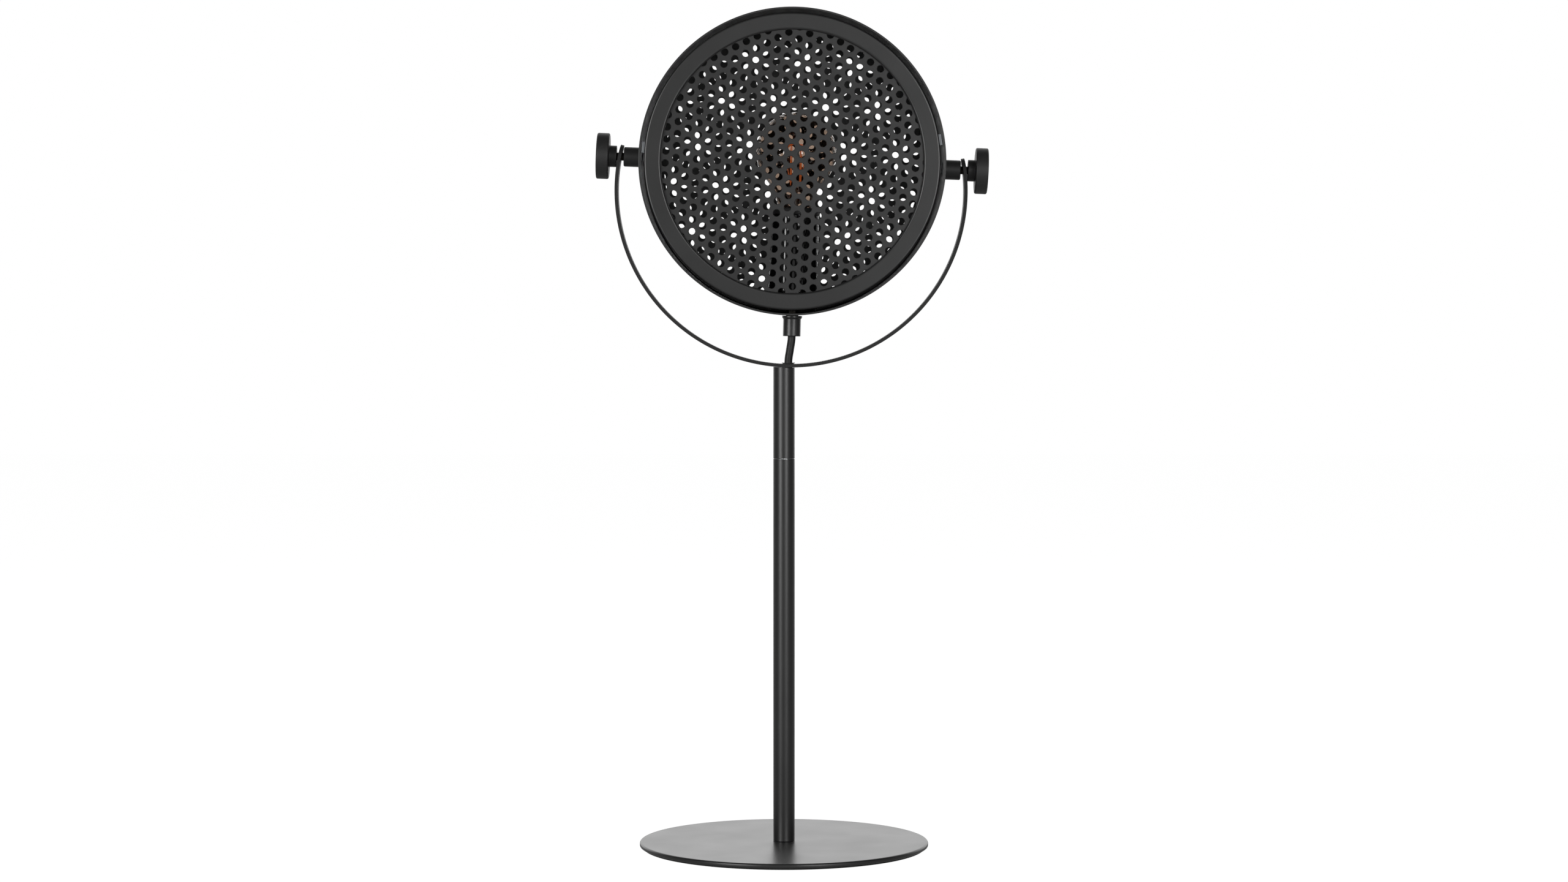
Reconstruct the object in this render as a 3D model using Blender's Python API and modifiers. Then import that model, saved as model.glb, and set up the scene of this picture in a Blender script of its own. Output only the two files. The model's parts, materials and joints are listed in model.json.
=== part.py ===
"""Round spotlight table lamp: a drum head with perforated sheets tilts in a strip yoke on a tube stand.

All lengths are in metres, +Z is up and the origin is the middle of the underside of the base.
The lamp faces -Y. The head turns about the knob axis, which runs along X.
"""

import math

import bmesh
import bpy
import numpy as np
from mathutils import Matrix, Vector


# Fits

CLEARANCE = 0.0003
CUT_OVERRUN = 0.002
MERGE_SHARE = 0.02
MERGE_DISTANCE = CLEARANCE * MERGE_SHARE

# Base

BASE_RADIUS = 0.110
BASE_THICKNESS = 0.0032
BASE_TOP_ROUND = 0.0013
BASE_LOW_ROUND = 0.0005
PAD_THICKNESS = 0.0012
PAD_INSET = 0.0025
SCREW_RADIUS = 0.0025
SCREW_LENGTH = 0.012
COUNTERSINK_DEPTH_SHARE = 0.8

# Pole

POLE_RADIUS = 0.00815
POLE_WALL = 0.0012
LOWER_TUBE_LENGTH = 0.2915
UPPER_TUBE_LENGTH = 0.0690
FOOT_PLUG_LENGTH = 0.014
JOINER_LENGTH = 0.030
CORD_EXIT_HEIGHT = 0.032
GROMMET_WALL = 0.0010
GROMMET_FLANGE_WIDTH = 0.0014
GROMMET_FLANGE_THICKNESS = 0.0012

# Yoke

STRIP_THICKNESS = 0.0025
STRIP_WIDTH = 0.018
YOKE_CENTRE_DROP = 0.021
YOKE_LEAN_DEG = 2.3
BUSH_WALL = 0.0008
BUSH_FLANGE_WIDTH = 0.0009
BUSH_FLANGE_THICKNESS = 0.0005

# Knobs, studs and spacers on the tilt axis

STUD_RADIUS = 0.003
KNOB_RADIUS = 0.01735
KNOB_THICKNESS = 0.0095
KNOB_EDGE_ROUND = 0.0012
HUB_RADIUS = 0.0081
HUB_LENGTH = 0.0055
STUD_IN_KNOB_SHARE = 0.5
SPACER_RADIUS = 0.0074
SPACER_LENGTH = 0.0122
SPACER_CHAMFER = 0.0006
WELD_NUT_RADIUS = 0.0058
WELD_NUT_HEIGHT = 0.005
STUD_END_LENGTH = 0.003

# Drum and front ring

DRUM_RADIUS = 0.115
DRUM_WALL = 0.0015
DRUM_BACK_ROUND = 0.0030
RIM_WIDTH = 0.0167
RING_GAP = 0.0024
RING_WALL = 0.0012
RING_RECESS = 0.0010
RING_LIP_DEPTH = 0.0025
RING_SKIRT_DEPTH = 0.0065
RING_OUTER_ROUND = 0.0016
RING_INNER_ROUND = 0.0014
KEEPER_WIDTH = 0.0040
KEEPER_THICKNESS = 0.0018
CLIP_WIDTH = 0.0085
CLIP_THICKNESS = 0.0005
CLIP_RAISE_DEG = 8.0
CLIP_REACH_SHARES = (0.0, 0.0, 1.0, 1.0, 0.35)
CLIP_DEPTH_SHARES = (0.92, 0.62, 0.42, 0.28, 0.14)

# Perforated sheets

SHEET_THICKNESS = 0.0010
HOLE_PITCH = 0.015
HOLE_RADIUS_SHARE = 0.223
HOLE_SIDES = 4
HOLE_TURN_DEG = 15.0
FRONT_SHEET_TURN_DEG = -4.0
BACK_SHEET_TURN_DEG = 9.6

# Bulb

BULB_RADIUS = 0.0305
BULB_NECK_LENGTH = 0.047
BULB_GLASS_WALL = 0.0008
BULB_ROOM = 0.0032
GLOBE_END_SHARE = 0.5
NECK_SHARES = (0.3, 0.6, 1.0)
CAP_RADIUS = 0.0133
CAP_WALL = 0.0005
CAP_LENGTH = 0.023
TIP_RADIUS = 0.0045
TIP_HEIGHT = 0.0025
TIP_END_SHARE = 0.5
STEM_RADIUS = 0.0036
STEM_HEIGHT_SHARE = 0.42
STEM_NECK_SHARE = 0.5
FILAMENT_RADIUS = 0.0008
FILAMENT_LENGTH = 0.030
FILAMENT_SPREAD = 0.0052
FILAMENT_COUNT = 4
FILAMENT_DROP_SHARE = 0.78
FILAMENT_TURN_SHARE = 0.5
WIRE_SHARE = 0.45
STICK_END_SHARE = 0.08

# Lampholder

HOLDER_LEAN_DEG = 1.4
SHELL_WALL = 0.0008
HOLDER_BODY_WALL = 0.0025
HOLDER_FLOOR_THICKNESS = 0.016
CUP_WALL = 0.0010
CUP_HEIGHT = 0.072
COLLAR_HEIGHT = 0.005
COLLAR_WALL = 0.0030
CONTACT_THICKNESS = 0.0012
NIPPLE_WALL = 0.0012
NIPPLE_NUT_HEIGHT = 0.003
NIPPLE_NUT_WIDTH = 0.0032
NIPPLE_TOP_LENGTH = 0.002
GRIP_WALL = 0.0016
GRIP_LENGTH = 0.0155
GRIP_THREAD_SHARE = 0.55
GRIP_FLARE = 0.0009
GRIP_FLARE_HEIGHT = 0.0022

# Lead

LEAD_RADIUS = 0.003
LEAD_END_SHARE = 0.08
LEAD_ROOM = 0.0006
LEAD_RETURN_SHARE = 4.0
LEAD_STEP = 0.040
LEAD_FINE_STEP = 0.0038
LEAD_BEND_STEPS = 5
STRAIGHT_SHARE = 0.03

# Facets

LARGE_STEPS = 48
MEDIUM_STEPS = 24
SMALL_STEPS = 16
TINY_STEPS = 12
YOKE_STEPS = 48
GLOBE_STEPS = 6
CORNER_STEPS = 2
NUT_SIDES = 6
SHARP_ANGLE = math.radians(35)
QUARTER_TURN = math.pi / 2

# Places that follow from the sizes above

BASE_BOTTOM_Z = PAD_THICKNESS + CLEARANCE
BASE_TOP_Z = BASE_BOTTOM_Z + BASE_THICKNESS
COUNTERSINK_DEPTH = BASE_THICKNESS * COUNTERSINK_DEPTH_SHARE
TUBE_BORE_RADIUS = POLE_RADIUS - POLE_WALL
LOWER_TUBE_BOTTOM_Z = BASE_TOP_Z + CLEARANCE
SEAM_Z = LOWER_TUBE_BOTTOM_Z + LOWER_TUBE_LENGTH
UPPER_TUBE_BOTTOM_Z = SEAM_Z + CLEARANCE
YOKE_FOOT_Z = UPPER_TUBE_BOTTOM_Z + UPPER_TUBE_LENGTH + CLEARANCE
CORD_EXIT_Z = BASE_TOP_Z + CORD_EXIT_HEIGHT
LEAN = math.radians(YOKE_LEAN_DEG)

DRUM_BORE_RADIUS = DRUM_RADIUS - DRUM_WALL
DRUM_BORE_FLAT = DRUM_BORE_RADIUS * math.cos(math.pi / LARGE_STEPS)

SPACER_START = DRUM_RADIUS + CLEARANCE
SPACER_END = SPACER_START + SPACER_LENGTH
YOKE_INNER_RADIUS = math.hypot(SPACER_END + CLEARANCE, YOKE_CENTRE_DROP + SPACER_RADIUS)
YOKE_OUTER_RADIUS = YOKE_INNER_RADIUS + STRIP_THICKNESS
AXIS_HEIGHT = YOKE_OUTER_RADIUS + YOKE_CENTRE_DROP
HUB_START = math.sqrt(YOKE_OUTER_RADIUS**2 - (YOKE_CENTRE_DROP - HUB_RADIUS) ** 2) + CLEARANCE
KNOB_START = HUB_START + HUB_LENGTH
KNOB_END = KNOB_START + KNOB_THICKNESS
STUD_OUTER_END = KNOB_START + KNOB_THICKNESS * STUD_IN_KNOB_SHARE
WELD_NUT_END = math.sqrt(DRUM_BORE_FLAT**2 - WELD_NUT_RADIUS**2) - CLEARANCE
WELD_NUT_START = WELD_NUT_END - WELD_NUT_HEIGHT
STUD_INNER_END = WELD_NUT_START - STUD_END_LENGTH
STUD_HOLE_RADIUS = STUD_RADIUS + CLEARANCE

HEAD_CENTRE = Vector((AXIS_HEIGHT * math.sin(LEAN), 0, YOKE_FOOT_Z + AXIS_HEIGHT * math.cos(LEAN)))

OPENING_RADIUS = DRUM_RADIUS - RIM_WIDTH
RING_RADIUS = DRUM_BORE_RADIUS - RING_GAP
FRONT_SHEET_INNER = BULB_RADIUS + BULB_ROOM
FRONT_SHEET_OUTER = FRONT_SHEET_INNER + SHEET_THICKNESS
RING_FACE = FRONT_SHEET_OUTER + CLEARANCE + RING_LIP_DEPTH
DRUM_HALF_DEPTH = RING_FACE + RING_RECESS
BACK_SHEET_OUTER = DRUM_HALF_DEPTH - DRUM_WALL - CLEARANCE
BACK_SHEET_INNER = BACK_SHEET_OUTER - SHEET_THICKNESS
FRONT_SHEET_RADIUS = RING_RADIUS - RING_WALL - CLEARANCE
BACK_SHEET_RADIUS = DRUM_BORE_RADIUS - DRUM_BACK_ROUND - CLEARANCE

SHELL_BORE = CAP_RADIUS + CLEARANCE
HOLDER_BODY_BORE = SHELL_BORE + SHELL_WALL + CLEARANCE
HOLDER_BODY_RADIUS = HOLDER_BODY_BORE + HOLDER_BODY_WALL
CUP_RADIUS = HOLDER_BODY_RADIUS + CLEARANCE + CUP_WALL
HOLDER_LEAN = math.radians(HOLDER_LEAN_DEG)
CUP_BOTTOM = CLEARANCE + CUP_RADIUS * math.sin(HOLDER_LEAN) - math.sqrt(DRUM_BORE_FLAT**2 - CUP_RADIUS**2)
CUP_TOP = CUP_BOTTOM + CUP_HEIGHT
COLLAR_BOTTOM = CUP_TOP + CLEARANCE
HOLDER_TOP = CUP_TOP - CLEARANCE
CAP_TOP = CUP_TOP + CLEARANCE
CAP_BOTTOM = CAP_TOP - CAP_LENGTH
TIP_TOP = CAP_BOTTOM - CLEARANCE
TIP_BOTTOM = TIP_TOP - TIP_HEIGHT
CONTACT_TOP = TIP_BOTTOM - CLEARANCE
CONTACT_BOTTOM = CONTACT_TOP - CONTACT_THICKNESS
HOLDER_FLOOR_TOP = CONTACT_BOTTOM - CLEARANCE
HOLDER_BOTTOM = HOLDER_FLOOR_TOP - HOLDER_FLOOR_THICKNESS
BULB_CENTRE = CAP_TOP + BULB_NECK_LENGTH
BULB_NECK_END = CAP_TOP + CLEARANCE
STEM_TOP = CAP_TOP + BULB_NECK_LENGTH * STEM_HEIGHT_SHARE

LEAD_BORE_RADIUS = LEAD_RADIUS + CLEARANCE
NIPPLE_BORE_RADIUS = LEAD_RADIUS + LEAD_ROOM
NIPPLE_RADIUS = NIPPLE_BORE_RADIUS + NIPPLE_WALL
NIPPLE_HOLE_RADIUS = NIPPLE_RADIUS + CLEARANCE
GRIP_RADIUS = NIPPLE_HOLE_RADIUS + GRIP_WALL
GRIP_TOP = -DRUM_RADIUS - CLEARANCE
GRIP_BOTTOM = GRIP_TOP - GRIP_LENGTH
GRIP_STEP = GRIP_TOP - GRIP_LENGTH * GRIP_THREAD_SHARE
NIPPLE_BOTTOM = GRIP_STEP + CLEARANCE
NUT_BOTTOM = CUP_BOTTOM + CUP_WALL + CLEARANCE
NIPPLE_TOP = NUT_BOTTOM + NIPPLE_NUT_HEIGHT + NIPPLE_TOP_LENGTH

LEAD_ENTRY_X = TUBE_BORE_RADIUS - LEAD_RADIUS - 2 * CLEARANCE
BUSH_RADIUS = LEAD_BORE_RADIUS + BUSH_WALL
BUSH_FLANGE_RADIUS = BUSH_RADIUS + BUSH_FLANGE_WIDTH
GROMMET_RADIUS = LEAD_BORE_RADIUS + GROMMET_WALL
GROMMET_HOLE_RADIUS = GROMMET_RADIUS + CLEARANCE
GROMMET_END_Y = POLE_RADIUS + CLEARANCE + GROMMET_FLANGE_THICKNESS
GROMMET_START_Y = math.sqrt(TUBE_BORE_RADIUS**2 - GROMMET_RADIUS**2)
LEAD_BACK_Y = TUBE_BORE_RADIUS - LEAD_RADIUS - 2 * CLEARANCE
LEAD_BEND_END_Y = GROMMET_START_Y - CLEARANCE
LEAD_BEND_RADIUS = LEAD_BEND_END_Y + LEAD_BACK_Y


def yoke_surface_z(x, radius):
    """Height in the world of the strip's surface of that radius near the pole, at the place x across."""
    along = x / math.cos(LEAN)
    rise = YOKE_OUTER_RADIUS - math.sqrt(radius**2 - along**2)
    return YOKE_FOOT_Z + rise * math.cos(LEAN) - along * math.sin(LEAN)


BUSH_SEAT_Z = CLEARANCE + max(
    yoke_surface_z(LEAD_ENTRY_X - BUSH_FLANGE_RADIUS, YOKE_INNER_RADIUS),
    yoke_surface_z(LEAD_ENTRY_X + BUSH_FLANGE_RADIUS, YOKE_INNER_RADIUS),
)
BUSH_TOP_Z = BUSH_SEAT_Z + BUSH_FLANGE_THICKNESS
BUSH_BOTTOM_Z = YOKE_FOOT_Z + CLEARANCE


# Scene helpers


def clear_scene():
    """Removes whatever the open file holds."""
    for obj in list(bpy.data.objects):
        bpy.data.objects.remove(obj, do_unlink=True)


def new_collection(name):
    """A collection linked to the scene."""
    made = bpy.data.collections.new(name)
    bpy.context.scene.collection.children.link(made)
    return made


def new_material(name, colour, roughness, metallic=0.0, alpha=1.0):
    """A Principled material of one colour."""
    made = bpy.data.materials.new(name)
    made.use_nodes = True
    shader = made.node_tree.nodes["Principled BSDF"]
    shader.inputs["Base Color"].default_value = (*colour, 1.0)
    shader.inputs["Roughness"].default_value = roughness
    shader.inputs["Metallic"].default_value = metallic
    shader.inputs["Alpha"].default_value = alpha
    made.diffuse_color = (*colour, alpha)
    return made


class Finish:
    """Colours of the finishes, as linear RGB with roughness and metallic."""

    COATED_STEEL = ((0.022, 0.022, 0.023), 0.38, 0.0)
    DARK_PLASTIC = ((0.012, 0.012, 0.012), 0.45, 0.0)
    RUBBER = ((0.010, 0.010, 0.010), 0.75, 0.0)
    PLATED_STEEL = ((0.50, 0.50, 0.50), 0.35, 1.0)
    BRASS = ((0.60, 0.42, 0.16), 0.35, 1.0)
    AMBER_GLASS = ((0.32, 0.14, 0.04), 0.05, 0.0, 0.35)
    CLEAR_GLASS = ((0.80, 0.82, 0.82), 0.05, 0.0, 0.35)
    FILAMENT = ((0.85, 0.42, 0.06), 0.6, 0.0)


def place(obj, parent, finish):
    """Gives a piece its own material and the empty that places it."""
    PARTS.objects.link(obj)
    obj.parent = parent
    obj.data.materials.clear()
    obj.data.materials.append(new_material(obj.name, *finish))
    return obj


def frame_empty(name, location=(0, 0, 0), rotation=(0, 0, 0), parent=None):
    """An empty that carries pieces. It is not a piece itself."""
    empty = bpy.data.objects.new(name, None)
    empty.location = location
    empty.rotation_euler = rotation
    empty.parent = parent
    PARTS.objects.link(empty)
    return empty


def evaluated_mesh(source):
    """The mesh that an object's modifiers or bevel give it. The object itself is removed."""
    bpy.context.scene.collection.objects.link(source)
    graph = bpy.context.evaluated_depsgraph_get()
    mesh = bpy.data.meshes.new_from_object(source.evaluated_get(graph))
    name = source.name
    bpy.data.objects.remove(source, do_unlink=True)
    mesh.name = name
    return mesh


def shade_round(mesh):
    """Shades the round faces smooth and keeps the edges between them sharp."""
    mesh.shade_smooth()
    mesh.set_sharp_from_angle(angle=SHARP_ANGLE)


def spun(name, profile, steps, closed, wall=0):
    """A mesh turned about Z from (radius, height) points that run down its outer side.

    With a wall it is a shell of that thickness inside the outline.
    """
    mesh = bpy.data.meshes.new(name)
    points = [(radius, 0, height) for radius, height in profile]
    edges = [(i, i + 1) for i in range(len(points) - 1)]
    if closed:
        edges.append((len(points) - 1, 0))
    mesh.from_pydata(points, edges, [])
    source = bpy.data.objects.new(name, mesh)
    screw = source.modifiers.new("Turn", "SCREW")
    screw.axis = "Z"
    screw.angle = math.tau
    screw.steps = steps
    screw.render_steps = steps
    screw.use_merge_vertices = True
    screw.merge_threshold = MERGE_DISTANCE
    if wall:
        solid = source.modifiers.new("Wall", "SOLIDIFY")
        solid.thickness = wall
        solid.offset = -1
        solid.use_even_offset = True
    made = evaluated_mesh(source)
    shade_round(made)
    return made


def ring(name, profile, steps, parent, finish):
    """A turned piece whose closed section stays clear of the axis."""
    return place(bpy.data.objects.new(name, spun(name, profile, steps, True)), parent, finish)


def solid_of_turning(name, profile, steps, parent, finish):
    """A turned piece whose outline starts and ends on the axis."""
    return place(bpy.data.objects.new(name, spun(name, profile, steps, False)), parent, finish)


def shell(name, outline, wall, steps, parent, finish):
    """A turned thin-walled piece inside an open outline."""
    return place(bpy.data.objects.new(name, spun(name, outline, steps, False, wall)), parent, finish)


def tube(name, outer, inner, bottom, top, steps, parent, finish):
    """A plain tube about local Z."""
    profile = [(outer, top), (outer, bottom), (inner, bottom), (inner, top)]
    return ring(name, profile, steps, parent, finish)


def cylinder_mesh(name, radius, length, steps):
    """A closed cylinder about Z, centred on the origin."""
    mesh = bpy.data.meshes.new(name)
    shape = bmesh.new()
    bmesh.ops.create_cone(
        shape, cap_ends=True, segments=steps, radius1=radius, radius2=radius, depth=length
    )
    shape.to_mesh(mesh)
    shape.free()
    shade_round(mesh)
    return mesh


def cylinder(name, radius, bottom, top, steps, parent, finish):
    """A plain round bar or disc about local Z."""
    obj = bpy.data.objects.new(name, cylinder_mesh(name, radius, top - bottom, steps))
    obj.location = (0, 0, (bottom + top) / 2)
    return place(obj, parent, finish)


def corner(centre_radius, centre_height, round_radius, start_deg, end_deg):
    """Points round a corner of a profile, from one direction to the other."""
    points = []
    for angle in np.radians(np.linspace(start_deg, end_deg, CORNER_STEPS + 1)):
        radius = centre_radius + round_radius * math.cos(angle)
        height = centre_height + round_radius * math.sin(angle)
        points.append((radius, height))
    return points


def circle_points(radius, steps, centre=(0, 0), turn=0.0):
    """Points round a circle, as (x, y)."""
    angles = turn + np.arange(steps) * math.tau / steps
    return [(centre[0] + radius * math.cos(a), centre[1] + radius * math.sin(a)) for a in angles]


def flat_curve(name, outlines, thickness):
    """A 2D curve filled between its outlines, centred on its own plane."""
    curve = bpy.data.curves.new(name, "CURVE")
    curve.dimensions = "2D"
    curve.fill_mode = "BOTH"
    curve.extrude = thickness / 2
    for outline in outlines:
        spline = curve.splines.new("POLY")
        spline.points.add(len(outline) - 1)
        flat = np.array([(x, y, 0, 1) for x, y in outline], dtype=float)
        spline.points.foreach_set("co", flat.ravel())
        spline.use_cyclic_u = True
    return bpy.data.objects.new(name, curve)


def flat_plate(name, outlines, thickness, middle, parent, finish):
    """A flat piece in local XY whose middle stands at that height on local Z."""
    obj = flat_curve(name, outlines, thickness)
    obj.location = (0, 0, middle)
    return place(obj, parent, finish)


def mesh_from_curve(curve_object):
    """A mesh object made from a curve, with its caps welded on."""
    mesh = evaluated_mesh(curve_object)
    shape = bmesh.new()
    shape.from_mesh(mesh)
    bmesh.ops.remove_doubles(shape, verts=shape.verts, dist=MERGE_DISTANCE)
    bmesh.ops.recalc_face_normals(shape, faces=shape.faces)
    shape.to_mesh(mesh)
    shape.free()
    shade_round(mesh)
    return bpy.data.objects.new(mesh.name, mesh)


def as_cutter(obj, parent):
    """Hides a shape that only cuts others."""
    obj.parent = parent
    obj.hide_render = True
    obj.display_type = "WIRE"
    CUTTERS.objects.link(obj)
    return obj


def round_cutter(name, radius, length, steps, parent, location=(0, 0, 0), rotation=(0, 0, 0)):
    """A cylinder about its own Z that cuts a round hole."""
    obj = bpy.data.objects.new(name, cylinder_mesh(name, radius, length, steps))
    obj.location = location
    obj.rotation_euler = rotation
    return as_cutter(obj, parent)


def cut(obj, cutter):
    """Takes the cutter's volume out of the piece."""
    boolean = obj.modifiers.new("Cut " + cutter.name, "BOOLEAN")
    boolean.operation = "DIFFERENCE"
    boolean.solver = "EXACT"
    boolean.object = cutter


# Base


def make_base(stand):
    """Steel disc with rounded edges, a full pad under it and a countersunk screw up its middle."""
    hole = SCREW_RADIUS + CLEARANCE
    sink_bottom = BASE_BOTTOM_Z
    sink_top = BASE_BOTTOM_Z + COUNTERSINK_DEPTH
    top_round = BASE_TOP_ROUND
    low_round = BASE_LOW_ROUND
    top_edge = corner(BASE_RADIUS - top_round, BASE_TOP_Z - top_round, top_round, 90, 0)
    low_edge = corner(BASE_RADIUS - low_round, BASE_BOTTOM_Z + low_round, low_round, 0, -90)
    bore = [(hole + COUNTERSINK_DEPTH, sink_bottom), (hole, sink_top), (hole, BASE_TOP_Z)]
    ring("base_plate", top_edge + low_edge + bore, LARGE_STEPS, stand, Finish.COATED_STEEL)
    pad_radius = BASE_RADIUS - PAD_INSET
    cylinder("base_pad", pad_radius, 0, PAD_THICKNESS, LARGE_STEPS, stand, Finish.RUBBER)
    screw_top = BASE_BOTTOM_Z + SCREW_LENGTH
    screw = [
        (0, screw_top),
        (SCREW_RADIUS, screw_top),
        (SCREW_RADIUS, sink_top),
        (SCREW_RADIUS + COUNTERSINK_DEPTH, sink_bottom),
        (0, sink_bottom),
    ]
    solid_of_turning("base_screw", screw, TINY_STEPS, stand, Finish.PLATED_STEEL)


# Pole


def make_lower_tube(stand):
    """Lower tube with the hole for the cord at its back, and the threaded plug in its foot."""
    tube(
        "pole_lower_tube",
        POLE_RADIUS,
        TUBE_BORE_RADIUS,
        LOWER_TUBE_BOTTOM_Z,
        SEAM_Z,
        MEDIUM_STEPS,
        stand,
        Finish.COATED_STEEL,
    )
    exit_hole = round_cutter(
        "cord_exit_cutter",
        GROMMET_HOLE_RADIUS,
        POLE_RADIUS + CUT_OVERRUN,
        TINY_STEPS,
        stand,
        location=(0, (POLE_RADIUS + CUT_OVERRUN) / 2, CORD_EXIT_Z),
        rotation=(QUARTER_TURN, 0, 0),
    )
    cut(PARTS.objects["pole_lower_tube"], exit_hole)
    tube(
        "foot_plug",
        TUBE_BORE_RADIUS - CLEARANCE,
        SCREW_RADIUS + CLEARANCE,
        LOWER_TUBE_BOTTOM_Z,
        LOWER_TUBE_BOTTOM_Z + FOOT_PLUG_LENGTH,
        SMALL_STEPS,
        stand,
        Finish.PLATED_STEEL,
    )


def make_upper_tube(stand, yoke_frame):
    """Upper tube, which starts too long and is cut to the underside of the strip, and its joiner."""
    spare = POLE_RADIUS * math.tan(LEAN) + POLE_RADIUS**2 / YOKE_OUTER_RADIUS
    upper = tube(
        "pole_upper_tube",
        POLE_RADIUS,
        TUBE_BORE_RADIUS,
        UPPER_TUBE_BOTTOM_Z,
        YOKE_FOOT_Z + spare,
        MEDIUM_STEPS,
        stand,
        Finish.COATED_STEEL,
    )
    saddle_steps = 2 * YOKE_STEPS
    saddle = round_cutter(
        "yoke_saddle_cutter",
        (YOKE_OUTER_RADIUS + CLEARANCE) / math.cos(math.pi / saddle_steps),
        2 * (POLE_RADIUS + CUT_OVERRUN),
        saddle_steps,
        yoke_frame,
        location=(0, 0, -YOKE_CENTRE_DROP),
        rotation=(QUARTER_TURN, 0, 0),
    )
    cut(upper, saddle)
    tube(
        "pole_joiner",
        TUBE_BORE_RADIUS - CLEARANCE,
        LEAD_RADIUS + LEAD_ROOM,
        SEAM_Z - JOINER_LENGTH / 2,
        SEAM_Z + JOINER_LENGTH / 2,
        SMALL_STEPS,
        stand,
        Finish.PLATED_STEEL,
    )


def make_grommet(stand):
    """Rubber grommet about Y: a barrel through the tube's wall and a flange behind it."""
    frame = frame_empty("grommet_frame", (0, 0, CORD_EXIT_Z), (-QUARTER_TURN, 0, 0), stand)
    flange = GROMMET_RADIUS + GROMMET_FLANGE_WIDTH
    seat = POLE_RADIUS + CLEARANCE
    profile = [
        (flange, GROMMET_END_Y),
        (flange, seat),
        (GROMMET_RADIUS, seat),
        (GROMMET_RADIUS, GROMMET_START_Y),
        (LEAD_BORE_RADIUS, GROMMET_START_Y),
        (LEAD_BORE_RADIUS, GROMMET_END_Y),
    ]
    ring("cord_grommet", profile, TINY_STEPS, frame, Finish.RUBBER)


# Yoke


def strip_arc(radius, end_angle):
    """Points along one face of the bent strip, from end to end through the bottom."""
    angles = np.linspace(-end_angle, end_angle, YOKE_STEPS + 1)
    return [(radius * math.sin(a), -radius * math.cos(a)) for a in angles]


def make_strip(stand, yoke_frame):
    """One flat strip bent to an arc, with round ends, a hole at each end and one for the lead."""
    end_height = YOKE_CENTRE_DROP + STRIP_WIDTH / 2 + CUT_OVERRUN
    end_angle = math.pi / 2 + math.asin(end_height / YOKE_OUTER_RADIUS)
    outline = strip_arc(YOKE_OUTER_RADIUS, end_angle) + strip_arc(YOKE_INNER_RADIUS, end_angle)[::-1]
    strip = mesh_from_curve(flat_curve("yoke_strip", [outline], STRIP_WIDTH))
    strip.location = (0, 0, -YOKE_CENTRE_DROP)
    strip.rotation_euler = (QUARTER_TURN, 0, 0)
    place(strip, yoke_frame, Finish.COATED_STEEL)
    reach = 2 * (YOKE_OUTER_RADIUS + CUT_OVERRUN)
    cut(strip, end_cutter(yoke_frame, reach))
    stud_holes = round_cutter(
        "strip_stud_hole_cutter",
        STUD_HOLE_RADIUS,
        reach,
        TINY_STEPS,
        yoke_frame,
        rotation=(0, QUARTER_TURN, 0),
    )
    cut(strip, stud_holes)
    lead_hole = round_cutter(
        "strip_lead_hole_cutter",
        BUSH_RADIUS + CLEARANCE,
        2 * (STRIP_THICKNESS + CUT_OVERRUN),
        SMALL_STEPS,
        stand,
        location=(LEAD_ENTRY_X, 0, YOKE_FOOT_Z),
    )
    cut(strip, lead_hole)


def end_cutter(yoke_frame, reach):
    """Bar with a half-round bite over the tilt axis. It rounds both ends of the strip."""
    half = STRIP_WIDTH / 2
    side = half + CUT_OVERRUN
    top = side + CUT_OVERRUN
    bite = [(half * math.cos(a), half * math.sin(a)) for a in np.linspace(0, math.pi, SMALL_STEPS + 1)]
    outline = bite + [(-side, 0), (-side, top), (side, top), (side, 0)]
    ends = mesh_from_curve(flat_curve("strip_end_cutter", [outline], reach))
    ends.rotation_euler = (QUARTER_TURN, 0, QUARTER_TURN)
    return as_cutter(ends, yoke_frame)


def make_bush(stand):
    """Flanged rubber bush round the lead, in the strip's hole."""
    frame = frame_empty("bush_frame", (LEAD_ENTRY_X, 0, 0), parent=stand)
    profile = [
        (BUSH_FLANGE_RADIUS, BUSH_TOP_Z),
        (BUSH_FLANGE_RADIUS, BUSH_SEAT_Z),
        (BUSH_RADIUS, BUSH_SEAT_Z),
        (BUSH_RADIUS, BUSH_BOTTOM_Z),
        (LEAD_BORE_RADIUS, BUSH_BOTTOM_Z),
        (LEAD_BORE_RADIUS, BUSH_TOP_Z),
    ]
    ring("lead_bush", profile, SMALL_STEPS, frame, Finish.RUBBER)


# Tilt axis


def hexagon_nut(name, radius, bore, bottom, top, parent, finish):
    """A six-sided nut about local Z."""
    outlines = [circle_points(radius, NUT_SIDES), circle_points(bore, TINY_STEPS)]
    return flat_plate(name, outlines, top - bottom, (bottom + top) / 2, parent, finish)


def make_spacer(side, head_side):
    """Spacer between drum and yoke, and the nut welded inside the drum for the stud."""
    spacer = [
        (SPACER_RADIUS - SPACER_CHAMFER, SPACER_END),
        (SPACER_RADIUS, SPACER_END - SPACER_CHAMFER),
        (SPACER_RADIUS, SPACER_START),
        (STUD_HOLE_RADIUS, SPACER_START),
        (STUD_HOLE_RADIUS, SPACER_END),
    ]
    ring("spacer_" + side, spacer, MEDIUM_STEPS, head_side, Finish.DARK_PLASTIC)
    hexagon_nut(
        "weld_nut_" + side,
        WELD_NUT_RADIUS,
        STUD_HOLE_RADIUS,
        WELD_NUT_START,
        WELD_NUT_END,
        head_side,
        Finish.PLATED_STEEL,
    )


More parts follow.
